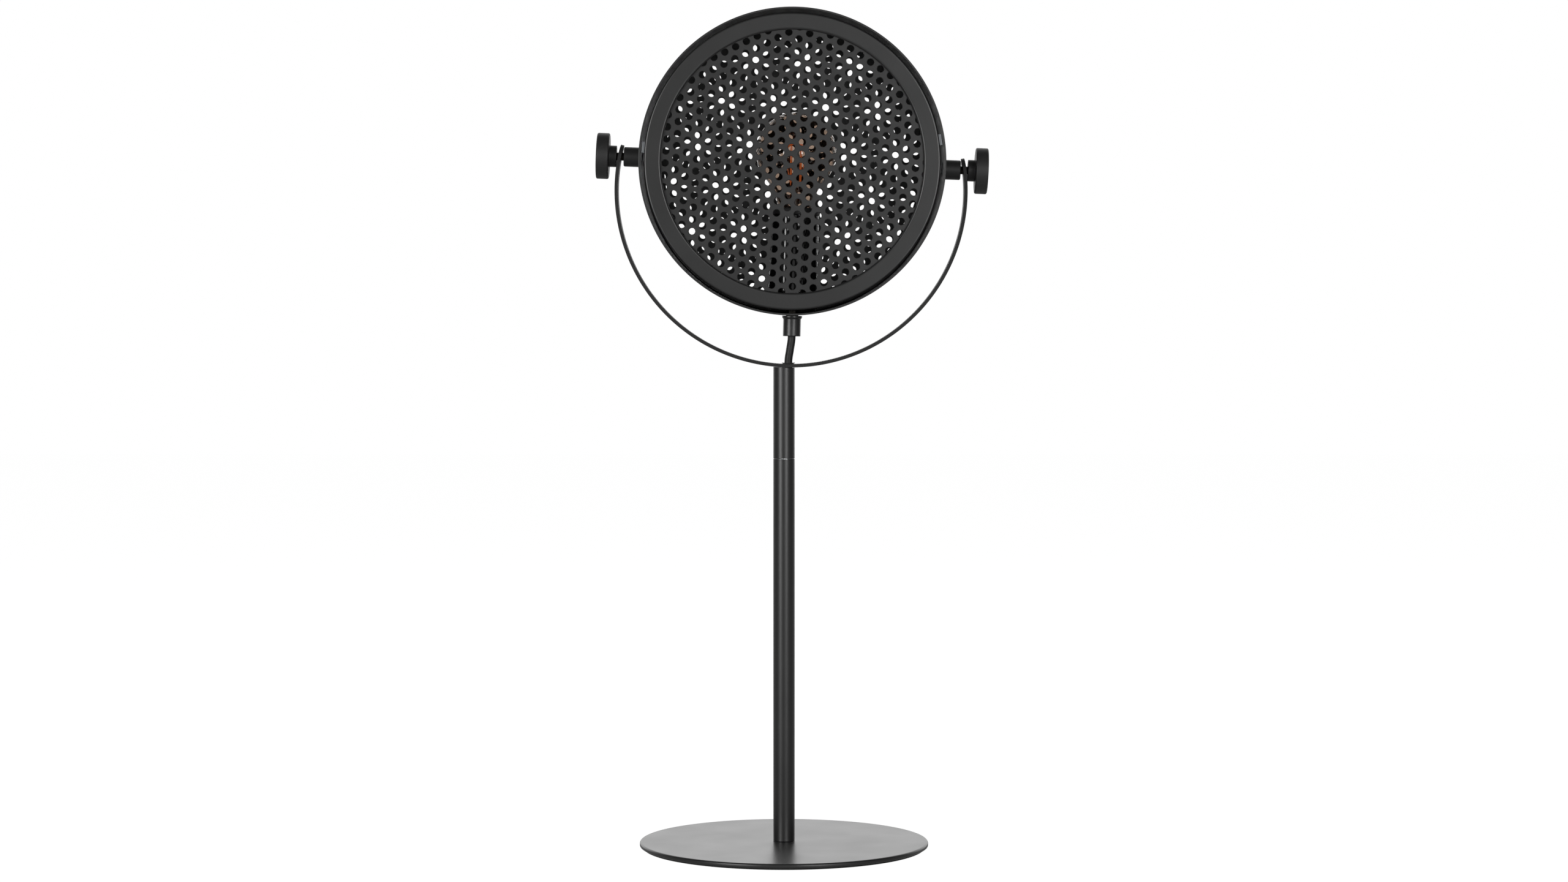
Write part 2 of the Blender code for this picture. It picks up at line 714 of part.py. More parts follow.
def make_knob(side, knob_side):
    """Thumb knob, a disc with a hub and a blind socket, and the stud fixed in it."""
    edge = KNOB_EDGE_ROUND
    outer_edge = corner(KNOB_RADIUS - edge, KNOB_END - edge, edge, 90, 0)
    inner_edge = corner(KNOB_RADIUS - edge, KNOB_START + edge, edge, 0, -90)
    socket_end = STUD_OUTER_END + CLEARANCE
    profile = [(0, KNOB_END)] + outer_edge + inner_edge
    profile += [
        (HUB_RADIUS, KNOB_START),
        (HUB_RADIUS, HUB_START),
        (STUD_HOLE_RADIUS, HUB_START),
        (STUD_HOLE_RADIUS, socket_end),
        (0, socket_end),
    ]
    solid_of_turning("knob_" + side, profile, MEDIUM_STEPS, knob_side, Finish.DARK_PLASTIC)
    cylinder(
        "stud_" + side,
        STUD_RADIUS,
        STUD_INNER_END,
        STUD_OUTER_END,
        TINY_STEPS,
        knob_side,
        Finish.PLATED_STEEL,
    )


# Drum and front ring


def make_drum(drum_frame, head_frame, holder_frame):
    """Pressed drum with a turned-in rim at the back, bored for the studs and for the cable nipple."""
    bend = DRUM_BACK_ROUND
    outline = [(DRUM_RADIUS, DRUM_HALF_DEPTH)]
    outline += corner(DRUM_RADIUS - bend, bend - DRUM_HALF_DEPTH, bend, 0, -90)
    outline += [(OPENING_RADIUS, -DRUM_HALF_DEPTH)]
    drum = shell("drum_shell", outline, DRUM_WALL, LARGE_STEPS, drum_frame, Finish.COATED_STEEL)
    stud_holes = round_cutter(
        "drum_stud_hole_cutter",
        STUD_HOLE_RADIUS,
        2 * (DRUM_RADIUS + CUT_OVERRUN),
        TINY_STEPS,
        head_frame,
        rotation=(0, LEAN + QUARTER_TURN, 0),
    )
    cut(drum, stud_holes)
    nipple_hole = round_cutter(
        "drum_nipple_hole_cutter",
        NIPPLE_HOLE_RADIUS,
        2 * (DRUM_WALL + CUT_OVERRUN),
        TINY_STEPS,
        holder_frame,
        location=(0, 0, -DRUM_RADIUS),
    )
    cut(drum, nipple_hole)


def make_front_ring(drum_frame):
    """Pressed ring: a flat face with rounded edges, a skirt into the drum and a short inner lip."""
    outer_round = RING_OUTER_ROUND
    inner_round = RING_INNER_ROUND
    skirt_end = RING_FACE - RING_SKIRT_DEPTH
    lip_end = RING_FACE - RING_LIP_DEPTH
    skirt_bore = RING_RADIUS - RING_WALL
    lip_outside = OPENING_RADIUS + RING_WALL
    face_back = RING_FACE - RING_WALL
    profile = corner(RING_RADIUS - outer_round, RING_FACE - outer_round, outer_round, 90, 0)
    profile += [(RING_RADIUS, skirt_end), (skirt_bore, skirt_end), (skirt_bore, face_back)]
    profile += [(lip_outside, face_back), (lip_outside, lip_end), (OPENING_RADIUS, lip_end)]
    profile += corner(OPENING_RADIUS + inner_round, RING_FACE - inner_round, inner_round, 180, 90)
    ring("front_ring", profile, LARGE_STEPS, drum_frame, Finish.COATED_STEEL)


def make_keepers(drum_frame):
    """Flat rings that hold the front sheet against the lip and the back sheet against the rim."""
    front_top = FRONT_SHEET_INNER - CLEARANCE
    back_bottom = CLEARANCE - BACK_SHEET_INNER
    places = (
        ("front_keeper_ring", FRONT_SHEET_RADIUS, front_top - KEEPER_THICKNESS, front_top),
        ("back_keeper_ring", BACK_SHEET_RADIUS, back_bottom, back_bottom + KEEPER_THICKNESS),
    )
    for name, radius, bottom, top in places:
        inner = radius - KEEPER_WIDTH
        tube(name, radius, inner, bottom, top, MEDIUM_STEPS, drum_frame, Finish.PLATED_STEEL)


def clip_outline():
    """Section of a leaf clip: it lies along the skirt and bows out to the drum wall near the front."""
    far_corner = math.hypot(DRUM_BORE_RADIUS, CLIP_WIDTH / 2) - DRUM_BORE_RADIUS
    play = DRUM_BORE_FLAT - CLEARANCE - far_corner - CLIP_THICKNESS - (RING_RADIUS + CLEARANCE)
    near = [
        (RING_RADIUS + CLEARANCE + play * reach, RING_FACE - RING_SKIRT_DEPTH * depth)
        for reach, depth in zip(CLIP_REACH_SHARES, CLIP_DEPTH_SHARES)
    ]
    far = [(radius + CLIP_THICKNESS, height) for radius, height in near]
    return near + far[::-1]


def make_clips(drum_frame):
    """Two spring clips that hold the ring in the drum, a little above the tilt axis."""
    for side, angle_deg in (("right", CLIP_RAISE_DEG), ("left", 180 - CLIP_RAISE_DEG)):
        turn = (0, 0, math.radians(angle_deg))
        frame = frame_empty("clip_frame_" + side, rotation=turn, parent=drum_frame)
        clip = flat_curve("ring_clip_" + side, [clip_outline()], CLIP_WIDTH)
        clip.rotation_euler = (QUARTER_TURN, 0, 0)
        place(clip, frame, Finish.PLATED_STEEL)


# Perforated sheets


def hole_centres(turn_deg, limit):
    """Centres of a triangular pattern of holes that lie wholly within the limit radius."""
    row_height = HOLE_PITCH * math.sqrt(3) / 2
    count = int(limit / row_height) + 2
    turn = Matrix.Rotation(math.radians(turn_deg), 2)
    centres = []
    for column in range(-count, count + 1):
        shift = HOLE_PITCH / 2 if column % 2 else 0.0
        for row in range(-count, count + 1):
            centre = turn @ Vector((column * row_height, row * HOLE_PITCH + shift))
            if centre.length <= limit:
                centres.append(centre)
    return centres


def perforated_sheet(name, radius, turn_deg, middle, drum_frame):
    """A round sheet whose holes stop at the edge of the opening in front of it."""
    hole_radius = HOLE_PITCH * HOLE_RADIUS_SHARE
    limit = OPENING_RADIUS - hole_radius
    turn = math.radians(turn_deg + HOLE_TURN_DEG)
    outlines = [circle_points(radius, LARGE_STEPS)]
    for centre in hole_centres(turn_deg, limit):
        outlines.append(circle_points(hole_radius, HOLE_SIDES, centre, turn))
    flat_plate(name, outlines, SHEET_THICKNESS, middle, drum_frame, Finish.COATED_STEEL)


def make_sheets(drum_frame):
    """Front sheet inside the ring's skirt and back sheet against the drum's rim."""
    perforated_sheet(
        "front_grille",
        FRONT_SHEET_RADIUS,
        FRONT_SHEET_TURN_DEG,
        (FRONT_SHEET_INNER + FRONT_SHEET_OUTER) / 2,
        drum_frame,
    )
    perforated_sheet(
        "back_grille",
        BACK_SHEET_RADIUS,
        BACK_SHEET_TURN_DEG,
        -(BACK_SHEET_INNER + BACK_SHEET_OUTER) / 2,
        drum_frame,
    )


# Lampholder and bulb


def make_lampholder(holder_frame):
    """Tall cup with the insulating body, the screw shell and the contact in it, and a collar on top."""
    cup = [(CUP_RADIUS, CUP_TOP), (CUP_RADIUS, CUP_BOTTOM), (NIPPLE_HOLE_RADIUS, CUP_BOTTOM)]
    shell("holder_cup", cup, CUP_WALL, MEDIUM_STEPS, holder_frame, Finish.COATED_STEEL)
    body = [
        (0, HOLDER_FLOOR_TOP),
        (HOLDER_BODY_BORE, HOLDER_FLOOR_TOP),
        (HOLDER_BODY_BORE, HOLDER_TOP),
        (HOLDER_BODY_RADIUS, HOLDER_TOP),
        (HOLDER_BODY_RADIUS, HOLDER_BOTTOM),
        (0, HOLDER_BOTTOM),
    ]
    solid_of_turning("holder_body", body, SMALL_STEPS, holder_frame, Finish.DARK_PLASTIC)
    tube(
        "holder_shell",
        SHELL_BORE + SHELL_WALL,
        SHELL_BORE,
        HOLDER_FLOOR_TOP + CLEARANCE,
        HOLDER_TOP,
        SMALL_STEPS,
        holder_frame,
        Finish.BRASS,
    )
    cylinder(
        "holder_contact",
        TIP_RADIUS,
        CONTACT_BOTTOM,
        CONTACT_TOP,
        TINY_STEPS,
        holder_frame,
        Finish.BRASS,
    )
    tube(
        "holder_collar",
        CUP_RADIUS,
        CUP_RADIUS - COLLAR_WALL,
        COLLAR_BOTTOM,
        COLLAR_BOTTOM + COLLAR_HEIGHT,
        MEDIUM_STEPS,
        holder_frame,
        Finish.DARK_PLASTIC,
    )


def make_nipple(holder_frame):
    """Hollow threaded nipple, its nut inside the cup and the cord grip under the drum."""
    tube(
        "cable_nipple",
        NIPPLE_RADIUS,
        NIPPLE_BORE_RADIUS,
        NIPPLE_BOTTOM,
        NIPPLE_TOP,
        TINY_STEPS,
        holder_frame,
        Finish.BRASS,
    )
    hexagon_nut(
        "nipple_nut",
        NIPPLE_HOLE_RADIUS + NIPPLE_NUT_WIDTH,
        NIPPLE_HOLE_RADIUS,
        NUT_BOTTOM,
        NUT_BOTTOM + NIPPLE_NUT_HEIGHT,
        holder_frame,
        Finish.BRASS,
    )
    flare = GRIP_RADIUS + GRIP_FLARE
    grip = [
        (flare, GRIP_TOP),
        (flare, GRIP_TOP - GRIP_FLARE_HEIGHT / 2),
        (GRIP_RADIUS, GRIP_TOP - GRIP_FLARE_HEIGHT),
        (GRIP_RADIUS, GRIP_BOTTOM),
        (LEAD_BORE_RADIUS, GRIP_BOTTOM),
        (LEAD_BORE_RADIUS, GRIP_STEP),
        (NIPPLE_HOLE_RADIUS, GRIP_STEP),
        (NIPPLE_HOLE_RADIUS, GRIP_TOP),
    ]
    ring("cord_grip", grip, SMALL_STEPS, holder_frame, Finish.COATED_STEEL)


def bulb_outline():
    """Pear outline of the glass, from its crown down to the end of its neck.

    The globe is an arc. Below it a smooth step narrows the glass to the neck.
    """
    angles = np.linspace(math.pi / 2, -GLOBE_END_SHARE * math.pi / 2, GLOBE_STEPS + 1)
    globe = [(BULB_RADIUS * math.cos(a), BULB_CENTRE + BULB_RADIUS * math.sin(a)) for a in angles[1:]]
    start_radius, start_height = globe[-1]
    neck_radius = CAP_RADIUS - CAP_WALL - CLEARANCE
    neck = []
    for share in NECK_SHARES:
        ease = 1 - (1 - share) ** 2
        radius = start_radius + (neck_radius - start_radius) * ease
        height = start_height + (BULB_NECK_END - start_height) * share
        neck.append((radius, height))
    return [(0, BULB_CENTRE + BULB_RADIUS)] + globe + neck


def make_bulb(holder_frame):
    """Clear pear bulb: glass, screw cap, tip contact and inner stem."""
    shell(
        "bulb_glass",
        bulb_outline(),
        BULB_GLASS_WALL,
        MEDIUM_STEPS,
        holder_frame,
        Finish.AMBER_GLASS,
    )
    cap = [(CAP_RADIUS, CAP_TOP), (CAP_RADIUS, CAP_BOTTOM), (TIP_RADIUS, CAP_BOTTOM)]
    shell("bulb_cap", cap, CAP_WALL, SMALL_STEPS, holder_frame, Finish.PLATED_STEEL)
    tip = [
        (0, TIP_TOP),
        (TIP_RADIUS, TIP_TOP),
        (TIP_RADIUS * TIP_END_SHARE, TIP_BOTTOM),
        (0, TIP_BOTTOM),
    ]
    solid_of_turning("bulb_tip", tip, TINY_STEPS, holder_frame, Finish.BRASS)
    stem_foot = CAP_BOTTOM + CAP_WALL + CLEARANCE
    stem_neck = STEM_RADIUS * STEM_NECK_SHARE
    stem = [
        (0, STEM_TOP),
        (stem_neck, STEM_TOP),
        (stem_neck, (STEM_TOP + CAP_TOP) / 2),
        (STEM_RADIUS, CAP_TOP),
        (STEM_RADIUS, stem_foot),
        (0, stem_foot),
    ]
    solid_of_turning("bulb_stem", stem, TINY_STEPS, holder_frame, Finish.CLEAR_GLASS)


def make_filaments(holder_frame):
    """One wire that rises from the stem and runs up and down the upright filament sticks."""
    bottom = BULB_CENTRE - FILAMENT_LENGTH * FILAMENT_DROP_SHARE
    top = bottom + FILAMENT_LENGTH
    start = STEM_TOP + FILAMENT_RADIUS + CLEARANCE
    points = [(0, 0, start, WIRE_SHARE)]
    for index in range(FILAMENT_COUNT):
        angle = math.tau * (index + FILAMENT_TURN_SHARE) / FILAMENT_COUNT
        x = FILAMENT_SPREAD * math.cos(angle)
        y = FILAMENT_SPREAD * math.sin(angle)
        heights = (bottom, top) if index % 2 == 0 else (top, bottom)
        middle = sum(heights) / 2
        for height in heights:
            points.append((x, y, height, WIRE_SHARE))
            points.append((x, y, height + (middle - height) * STICK_END_SHARE, 1.0))
        points[-1], points[-2] = points[-2], points[-1]
    curve = bpy.data.curves.new("bulb_filaments", "CURVE")
    curve.dimensions = "3D"
    curve.bevel_depth = FILAMENT_RADIUS
    curve.bevel_resolution = 1
    curve.use_fill_caps = True
    spline = curve.splines.new("POLY")
    spline.points.add(len(points) - 1)
    for point, (x, y, z, thickness_share) in zip(spline.points, points):
        point.co = (x, y, z, 1)
        point.radius = thickness_share
    place(bpy.data.objects.new("bulb_filaments", curve), holder_frame, Finish.FILAMENT)


# Lead


def holder_axis_point(height):
    """Place in the world of the point of the lampholder's axis at that height in its own frame."""
    along = height + DRUM_RADIUS
    x = HEAD_CENTRE.x + along * math.sin(HOLDER_LEAN)
    z = HEAD_CENTRE.z - DRUM_RADIUS + along * math.cos(HOLDER_LEAN)
    return (x, 0, z)


def lead_route():
    """The lead's own points, from under the lampholder body to the grommet behind the foot of the pole."""
    grip_x, _, grip_z = holder_axis_point(GRIP_BOTTOM)
    free = grip_z - BUSH_TOP_Z
    inside = YOKE_FOOT_Z - SEAM_Z - JOINER_LENGTH / 2
    bend_top = CORD_EXIT_Z + LEAD_BEND_RADIUS
    near_end = LEAD_END_SHARE * free
    route = [
        holder_axis_point(HOLDER_BOTTOM - CLEARANCE),
        holder_axis_point(NIPPLE_TOP),
        holder_axis_point(GRIP_STEP),
        holder_axis_point(GRIP_BOTTOM + near_end),
        holder_axis_point(GRIP_BOTTOM - near_end),
        ((grip_x + LEAD_ENTRY_X) / 2, 0, grip_z - free / 2),
        (LEAD_ENTRY_X, 0, BUSH_TOP_Z + near_end),
        (LEAD_ENTRY_X, 0, BUSH_BOTTOM_Z),
        (LEAD_ENTRY_X, 0, YOKE_FOOT_Z - inside * LEAD_END_SHARE),
        (LEAD_ENTRY_X / 2, 0, YOKE_FOOT_Z - inside / 2),
        (0, 0, YOKE_FOOT_Z - inside * (1 - LEAD_END_SHARE)),
        (0, 0, SEAM_Z),
        (0, 0, SEAM_Z - JOINER_LENGTH),
        (0, 0, (SEAM_Z + bend_top) / 2),
        (0, 0, bend_top + LEAD_BEND_RADIUS * LEAD_RETURN_SHARE),
        (0, -LEAD_BACK_Y, bend_top + LEAD_BEND_RADIUS),
    ]
    for angle in np.linspace(math.pi, 3 * math.pi / 2, LEAD_BEND_STEPS + 1):
        y = LEAD_BEND_END_Y + LEAD_BEND_RADIUS * math.cos(angle)
        z = bend_top + LEAD_BEND_RADIUS * math.sin(angle)
        route.append((0, y, z))
    route.append((0, (LEAD_BEND_END_Y + GROMMET_END_Y) / 2, CORD_EXIT_Z))
    route.append((0, GROMMET_END_Y, CORD_EXIT_Z))
    return route


def smooth_points(route):
    """Points of a smooth curve through the route, close together where it bends."""
    points = np.array(route, dtype=float)
    spans = np.linalg.norm(np.diff(points, axis=0), axis=1)
    knots = np.concatenate(([0], np.cumsum(spans)))
    slopes = np.gradient(points, knots, axis=0)
    made = [points[0]]
    for i, span in enumerate(spans):
        bend = np.linalg.norm(np.cross(slopes[i], slopes[i + 1]))
        step = LEAD_FINE_STEP if bend > STRAIGHT_SHARE else LEAD_STEP
        count = max(1, math.ceil(span / step))
        for t in np.arange(1, count + 1) / count:
            a = 2 * t**3 - 3 * t**2 + 1
            b = t**3 - 2 * t**2 + t
            c = 3 * t**2 - 2 * t**3
            d = t**3 - t**2
            made.append(a * points[i] + b * span * slopes[i] + c * points[i + 1] + d * span * slopes[i + 1])
    return np.array(made)


def make_lead(stand):
    """Round two-core lead in one piece, held by the grip above and the grommet below."""
    points = smooth_points(lead_route())
    curve = bpy.data.curves.new("internal_lead", "CURVE")
    curve.dimensions = "3D"
    curve.bevel_depth = LEAD_RADIUS
    curve.bevel_resolution = 2
    curve.use_fill_caps = True
    spline = curve.splines.new("POLY")
    spline.points.add(len(points) - 1)
    spline.points.foreach_set("co", np.column_stack((points, np.ones(len(points)))).ravel())
    place(bpy.data.objects.new("internal_lead", curve), stand, Finish.RUBBER)


def build():
    """Makes every piece of the lamp."""
    stand = frame_empty("stand_frame")
    yoke_frame = frame_empty("yoke_frame", HEAD_CENTRE, (0, LEAN, 0), stand)
    make_base(stand)
    make_lower_tube(stand)
    make_upper_tube(stand, yoke_frame)
    make_grommet(stand)
    make_strip(stand, yoke_frame)
    make_bush(stand)
    make_lead(stand)

    head_frame = frame_empty("head_frame", HEAD_CENTRE)
    drum_frame = frame_empty("drum_frame", rotation=(QUARTER_TURN, 0, 0), parent=head_frame)
    foot_shift = (DRUM_RADIUS * math.sin(HOLDER_LEAN), 0, DRUM_RADIUS * (math.cos(HOLDER_LEAN) - 1))
    holder_frame = frame_empty("holder_frame", foot_shift, (0, HOLDER_LEAN, 0), head_frame)
    make_drum(drum_frame, head_frame, holder_frame)
    make_front_ring(drum_frame)
    make_keepers(drum_frame)
    make_clips(drum_frame)
    make_sheets(drum_frame)
    make_lampholder(holder_frame)
    make_nipple(holder_frame)
    make_bulb(holder_frame)
    make_filaments(holder_frame)

    for side, quarter in (("left", -QUARTER_TURN), ("right", QUARTER_TURN)):
        turn = (0, LEAN + quarter, 0)
        make_spacer(side, frame_empty("spacer_frame_" + side, rotation=turn, parent=head_frame))
        make_knob(side, frame_empty("knob_frame_" + side, rotation=turn, parent=head_frame))
    bpy.context.view_layer.update()


clear_scene()
PARTS = new_collection("table_lamp")
CUTTERS = new_collection("cutters")
build()
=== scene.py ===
"""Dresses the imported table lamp: a drum head with two perforated sheets, in a strip yoke on a slim pole.

Lengths are in metres, +Z is up and the lamp faces -Y. Every piece is worked out in the frame of its own
axis and moved into the lamp's frame at the end, so its object sits at the origin.
"""

import json
import math

import bmesh
import bpy
import numpy as np
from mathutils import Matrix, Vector
from mathutils.geometry import delaunay_2d_cdt


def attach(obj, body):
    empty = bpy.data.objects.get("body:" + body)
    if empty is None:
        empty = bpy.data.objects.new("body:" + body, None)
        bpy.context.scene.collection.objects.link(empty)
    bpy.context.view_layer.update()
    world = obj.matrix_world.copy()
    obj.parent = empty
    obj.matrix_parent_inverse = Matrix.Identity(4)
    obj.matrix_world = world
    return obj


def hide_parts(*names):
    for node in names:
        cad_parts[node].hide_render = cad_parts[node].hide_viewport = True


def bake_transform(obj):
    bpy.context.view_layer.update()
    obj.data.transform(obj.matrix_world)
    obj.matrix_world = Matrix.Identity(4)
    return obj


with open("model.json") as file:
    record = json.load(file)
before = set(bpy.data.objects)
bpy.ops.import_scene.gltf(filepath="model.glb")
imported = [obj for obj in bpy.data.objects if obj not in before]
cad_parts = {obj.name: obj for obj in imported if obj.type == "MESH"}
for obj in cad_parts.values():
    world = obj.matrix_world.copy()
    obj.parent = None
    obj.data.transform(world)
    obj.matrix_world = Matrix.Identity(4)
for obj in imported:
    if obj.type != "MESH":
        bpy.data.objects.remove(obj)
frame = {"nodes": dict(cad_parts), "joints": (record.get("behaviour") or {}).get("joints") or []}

bl_info = {
    "name": "Perforated drum table lamp",
    "version": (1, 0, 0),
    "blender": (4, 5, 0),
    "location": "3D View > Sidebar > Lamp",
    "description": "Builds the finished surfaces, materials and stage of a tilting drum table lamp",
    "category": "Object",
}

MILLIMETRE = 0.001
CLEARANCE = 0.3 * MILLIMETRE
WELD_DISTANCE = 0.002 * MILLIMETRE
HOLD = 0.25 * MILLIMETRE
SHARP_ANGLE = math.radians(40)
RIM_ANGLE = math.radians(50)
QUARTER_TURN = math.pi / 2
X, Y, Z = range(3)
ROUND_STEPS = 6
LARGE_STEPS = 240
MEDIUM_STEPS = 96
SMALL_STEPS = 64
HOLE_STEPS = 12
RIM_SHARE = 0.62
MIDDLE_HALF = (0.25, 0.75)

# HOLD is how far from a rounding its edge's extra point stands. RIM_SHARE is the share of a pitch by which
# the middles of the outermost holes keep away from a sheet's edge.

# Sizes that several pieces share. Bores are given as radii.
TUBE_WALL = 1.2 * MILLIMETRE
DRUM_WALL = 1.5 * MILLIMETRE
RING_WIDTH = 12.8 * MILLIMETRE
STUD_BORE = 3.3 * MILLIMETRE
LEAD_BORE = 3.3 * MILLIMETRE
NIPPLE_BORE = 5.1 * MILLIMETRE


# Frames of the lamp's own axes


def shifted(place):
    """Frame moved to a place: the identity with that place in its last column."""
    made = np.eye(4)
    made[:3, 3] = place
    return made


def turned_about(axis, angle):
    """Frame turned about X, Y or Z: its other two axes mix by the cosine and sine of the angle."""
    made = np.eye(4)
    i, j = (axis + 1) % 3, (axis + 2) % 3
    made[i, i] = made[j, j] = math.cos(angle)
    made[j, i] = math.sin(angle)
    made[i, j] = -math.sin(angle)
    return made


TILT = next(joint for joint in frame["joints"] if joint["name"] == "head_tilt")
LEAN = math.atan2(-TILT["axis"][Z], TILT["axis"][X])

STAND = np.eye(4)
HEAD = shifted(TILT["pos_m"])
DRUM = HEAD @ turned_about(X, QUARTER_TURN)
YOKE = HEAD @ turned_about(Y, LEAN)
SIDES = {
    "left": HEAD @ turned_about(Y, LEAN - QUARTER_TURN),
    "right": HEAD @ turned_about(Y, LEAN + QUARTER_TURN),
}


def moved(place, points):
    """Points of a frame in the lamp's own frame: turned by the frame's rotation and then shifted."""
    return np.asarray(points) @ place[:3, :3].T + place[:3, 3]


def extent(node, place):
    """Lowest and highest coordinates of a node's corners, measured in a frame."""
    mesh = frame["nodes"][node].data
    corners = np.zeros(len(mesh.vertices) * 3)
    mesh.vertices.foreach_get("co", corners)
    local = (corners.reshape(-1, 3) - place[:3, 3]) @ place[:3, :3]
    return local.min(axis=0), local.max(axis=0)


def round_extent(node, place):
    """Radius, lowest height and highest height of a round node about the frame's Z."""
    low, high = extent(node, place)
    return high[X], low[Z], high[Z]


def middle_of(node):
    """Middle of a node's box in the lamp's frame."""
    return sum(extent(node, STAND)) / 2


def holder_frame():
    """Frame of the lampholder's leaning axis, which runs through the middles of its collar and its shell."""
    top = middle_of("holder_collar")
    along = top - middle_of("holder_shell")
    return shifted(top) @ turned_about(Y, math.atan2(along[X], along[Z]))


HOLDER = holder_frame()


# Surfaces from profiles and grids


def unit(vectors):
    """Each vector over its own length."""
    return vectors / np.linalg.norm(vectors, axis=-1, keepdims=True)


def rounded(corners, closed):
    """Profile through corners of (radius, height, rounding in millimetres), each replaced by a circle's arc.

    The arc touches both edges. Its points are the two directions from its centre to the touching points,
    blended by the sines of their share of the angle. A close extra point on each edge keeps the flats flat.
    """
    spots = np.array([c[:2] for c in corners], dtype=float)
    made = []
    for i, corner in enumerate(corners):
        at, size = spots[i], corner[2] * MILLIMETRE if len(corner) > 2 else 0
        if not size or (not closed and i in (0, len(corners) - 1)):
            made.append(at[None])
            continue
        back, on = spots[i - 1] - at, spots[(i + 1) % len(spots)] - at
        u, v = unit(back), unit(on)
        half = math.acos(np.clip(u @ v, -1, 1)) / 2
        reach = size / math.tan(half)
        centre = at + unit(u + v) * size / math.sin(half)
        first, last = at + u * reach - centre, at + v * reach - centre
        sweep = math.pi - 2 * half
        share = np.linspace(0, 1, ROUND_STEPS + 1)[:, None]
        arc = (np.sin((1 - share) * sweep) * first + np.sin(share * sweep) * last) / math.sin(sweep)
        if np.linalg.norm(back) > 2 * (reach + HOLD):
            made.append((at + u * (reach + HOLD))[None])
        made.append(centre + arc)
        if np.linalg.norm(on) > 2 * (reach + HOLD):
            made.append((at + v * (reach + HOLD))[None])
    return np.concatenate(made)


def grid_quads(rows, columns, close_rows=False, close_columns=False):
    """Faces between neighbours on a grid of points, joined round where a direction is closed."""
    i = np.arange(rows if close_rows else rows - 1)[:, None]
    j = np.arange(columns if close_columns else columns - 1)[None, :]
    a, b = i * columns, (i + 1) % rows * columns
    c, d = j, (j + 1) % columns
    return np.stack((a + c, a + d, b + d, b + c), axis=-1).reshape(-1, 4)


def joined(surfaces):
    """Several surfaces as one: their points in a row, and their faces counted on from one to the next."""
    starts = np.cumsum([0] + [len(points) for points, _ in surfaces[:-1]])
    points = np.concatenate([points for points, _ in surfaces])
    return points, np.concatenate([faces + start for (_, faces), start in zip(surfaces, starts)])


def lathe(profile, steps, closed):
    """Surface of turning: radius times cosine, radius times sine, and height, for each angle and point."""
    angle = np.arange(steps)[None, :] * math.tau / steps
    radius, height = profile[:, :1], profile[:, 1:2]
    points = np.stack((radius * np.cos(angle), radius * np.sin(angle), height + 0 * angle), axis=-1)
    return points.reshape(-1, 3), grid_quads(len(profile), steps, closed, True)


def tube_along(path, radii, sides):
    """Round tube along a path: each point plus its radius times a turning pair of normals.

    The first normal is a fixed slanting direction less its part along the path, the second square to both.
    The radius falls to nothing at each end, which closes it.
    """
    radii = np.pad(np.broadcast_to(radii, len(path)), 1)
    along = unit(np.pad(np.gradient(path, axis=0), ((1, 1), (0, 0)), mode="edge"))
    path = np.pad(path, ((1, 1), (0, 0)), mode="edge")
    slant = unit(np.array([1.0, 1.0, 0.3]))
    first = unit(slant - (along @ slant)[:, None] * along)
    second = np.cross(along, first)
    angle = np.arange(sides)[None, :, None] * math.tau / sides
    ring = np.cos(angle) * first[:, None] + np.sin(angle) * second[:, None]
    points = path[:, None] + radii[:, None, None] * ring
    return points.reshape(-1, 3), grid_quads(len(path), sides, False, True)


def cubic(t, start, start_slope, end, end_slope):
    """Cubic curve between two points with a slope at each, at shares t of the way."""
    first = (2 * t**3 - 3 * t**2 + 1) * start + (t**3 - 2 * t**2 + t) * start_slope
    return first + (3 * t**2 - 2 * t**3) * end + (t**3 - t**2) * end_slope


def smooth_path(route, step, straight):
    """Smooth curve through a route: cubic pieces that share the route's own slopes at its points.

    Where the slopes turn less than the straight limit, three of four points are left out.
    """
    knots = np.concatenate(([0], np.cumsum(np.linalg.norm(np.diff(route, axis=0), axis=1))))
    slopes = np.gradient(route, knots, axis=0)
    at = np.linspace(0, knots[-1], math.ceil(knots[-1] / step) + 1)
    i = np.clip(np.searchsorted(knots, at, side="right") - 1, 0, len(route) - 2)
    span = (knots[i + 1] - knots[i])[:, None]
    t = (at[:, None] - knots[i][:, None]) / span
    curve = cubic(t, route[i], span * slopes[i], route[i + 1], span * slopes[i + 1])
    bend = np.linalg.norm(np.cross(slopes[i], slopes[i + 1]), axis=1)
    keep = (bend > straight) | (np.arange(len(at)) % 4 == 0)
    keep[-1] = True
    return curve[keep]


def lines(*stops):
    """Grid lines through the stops, with the number of cells between them given in turn."""
    made = [np.array([stops[0]])]
    for cells, end in zip(stops[1::2], stops[2::2]):
        made.append(np.linspace(made[-1][-1], end, cells + 1)[1:])
    return np.concatenate(made)


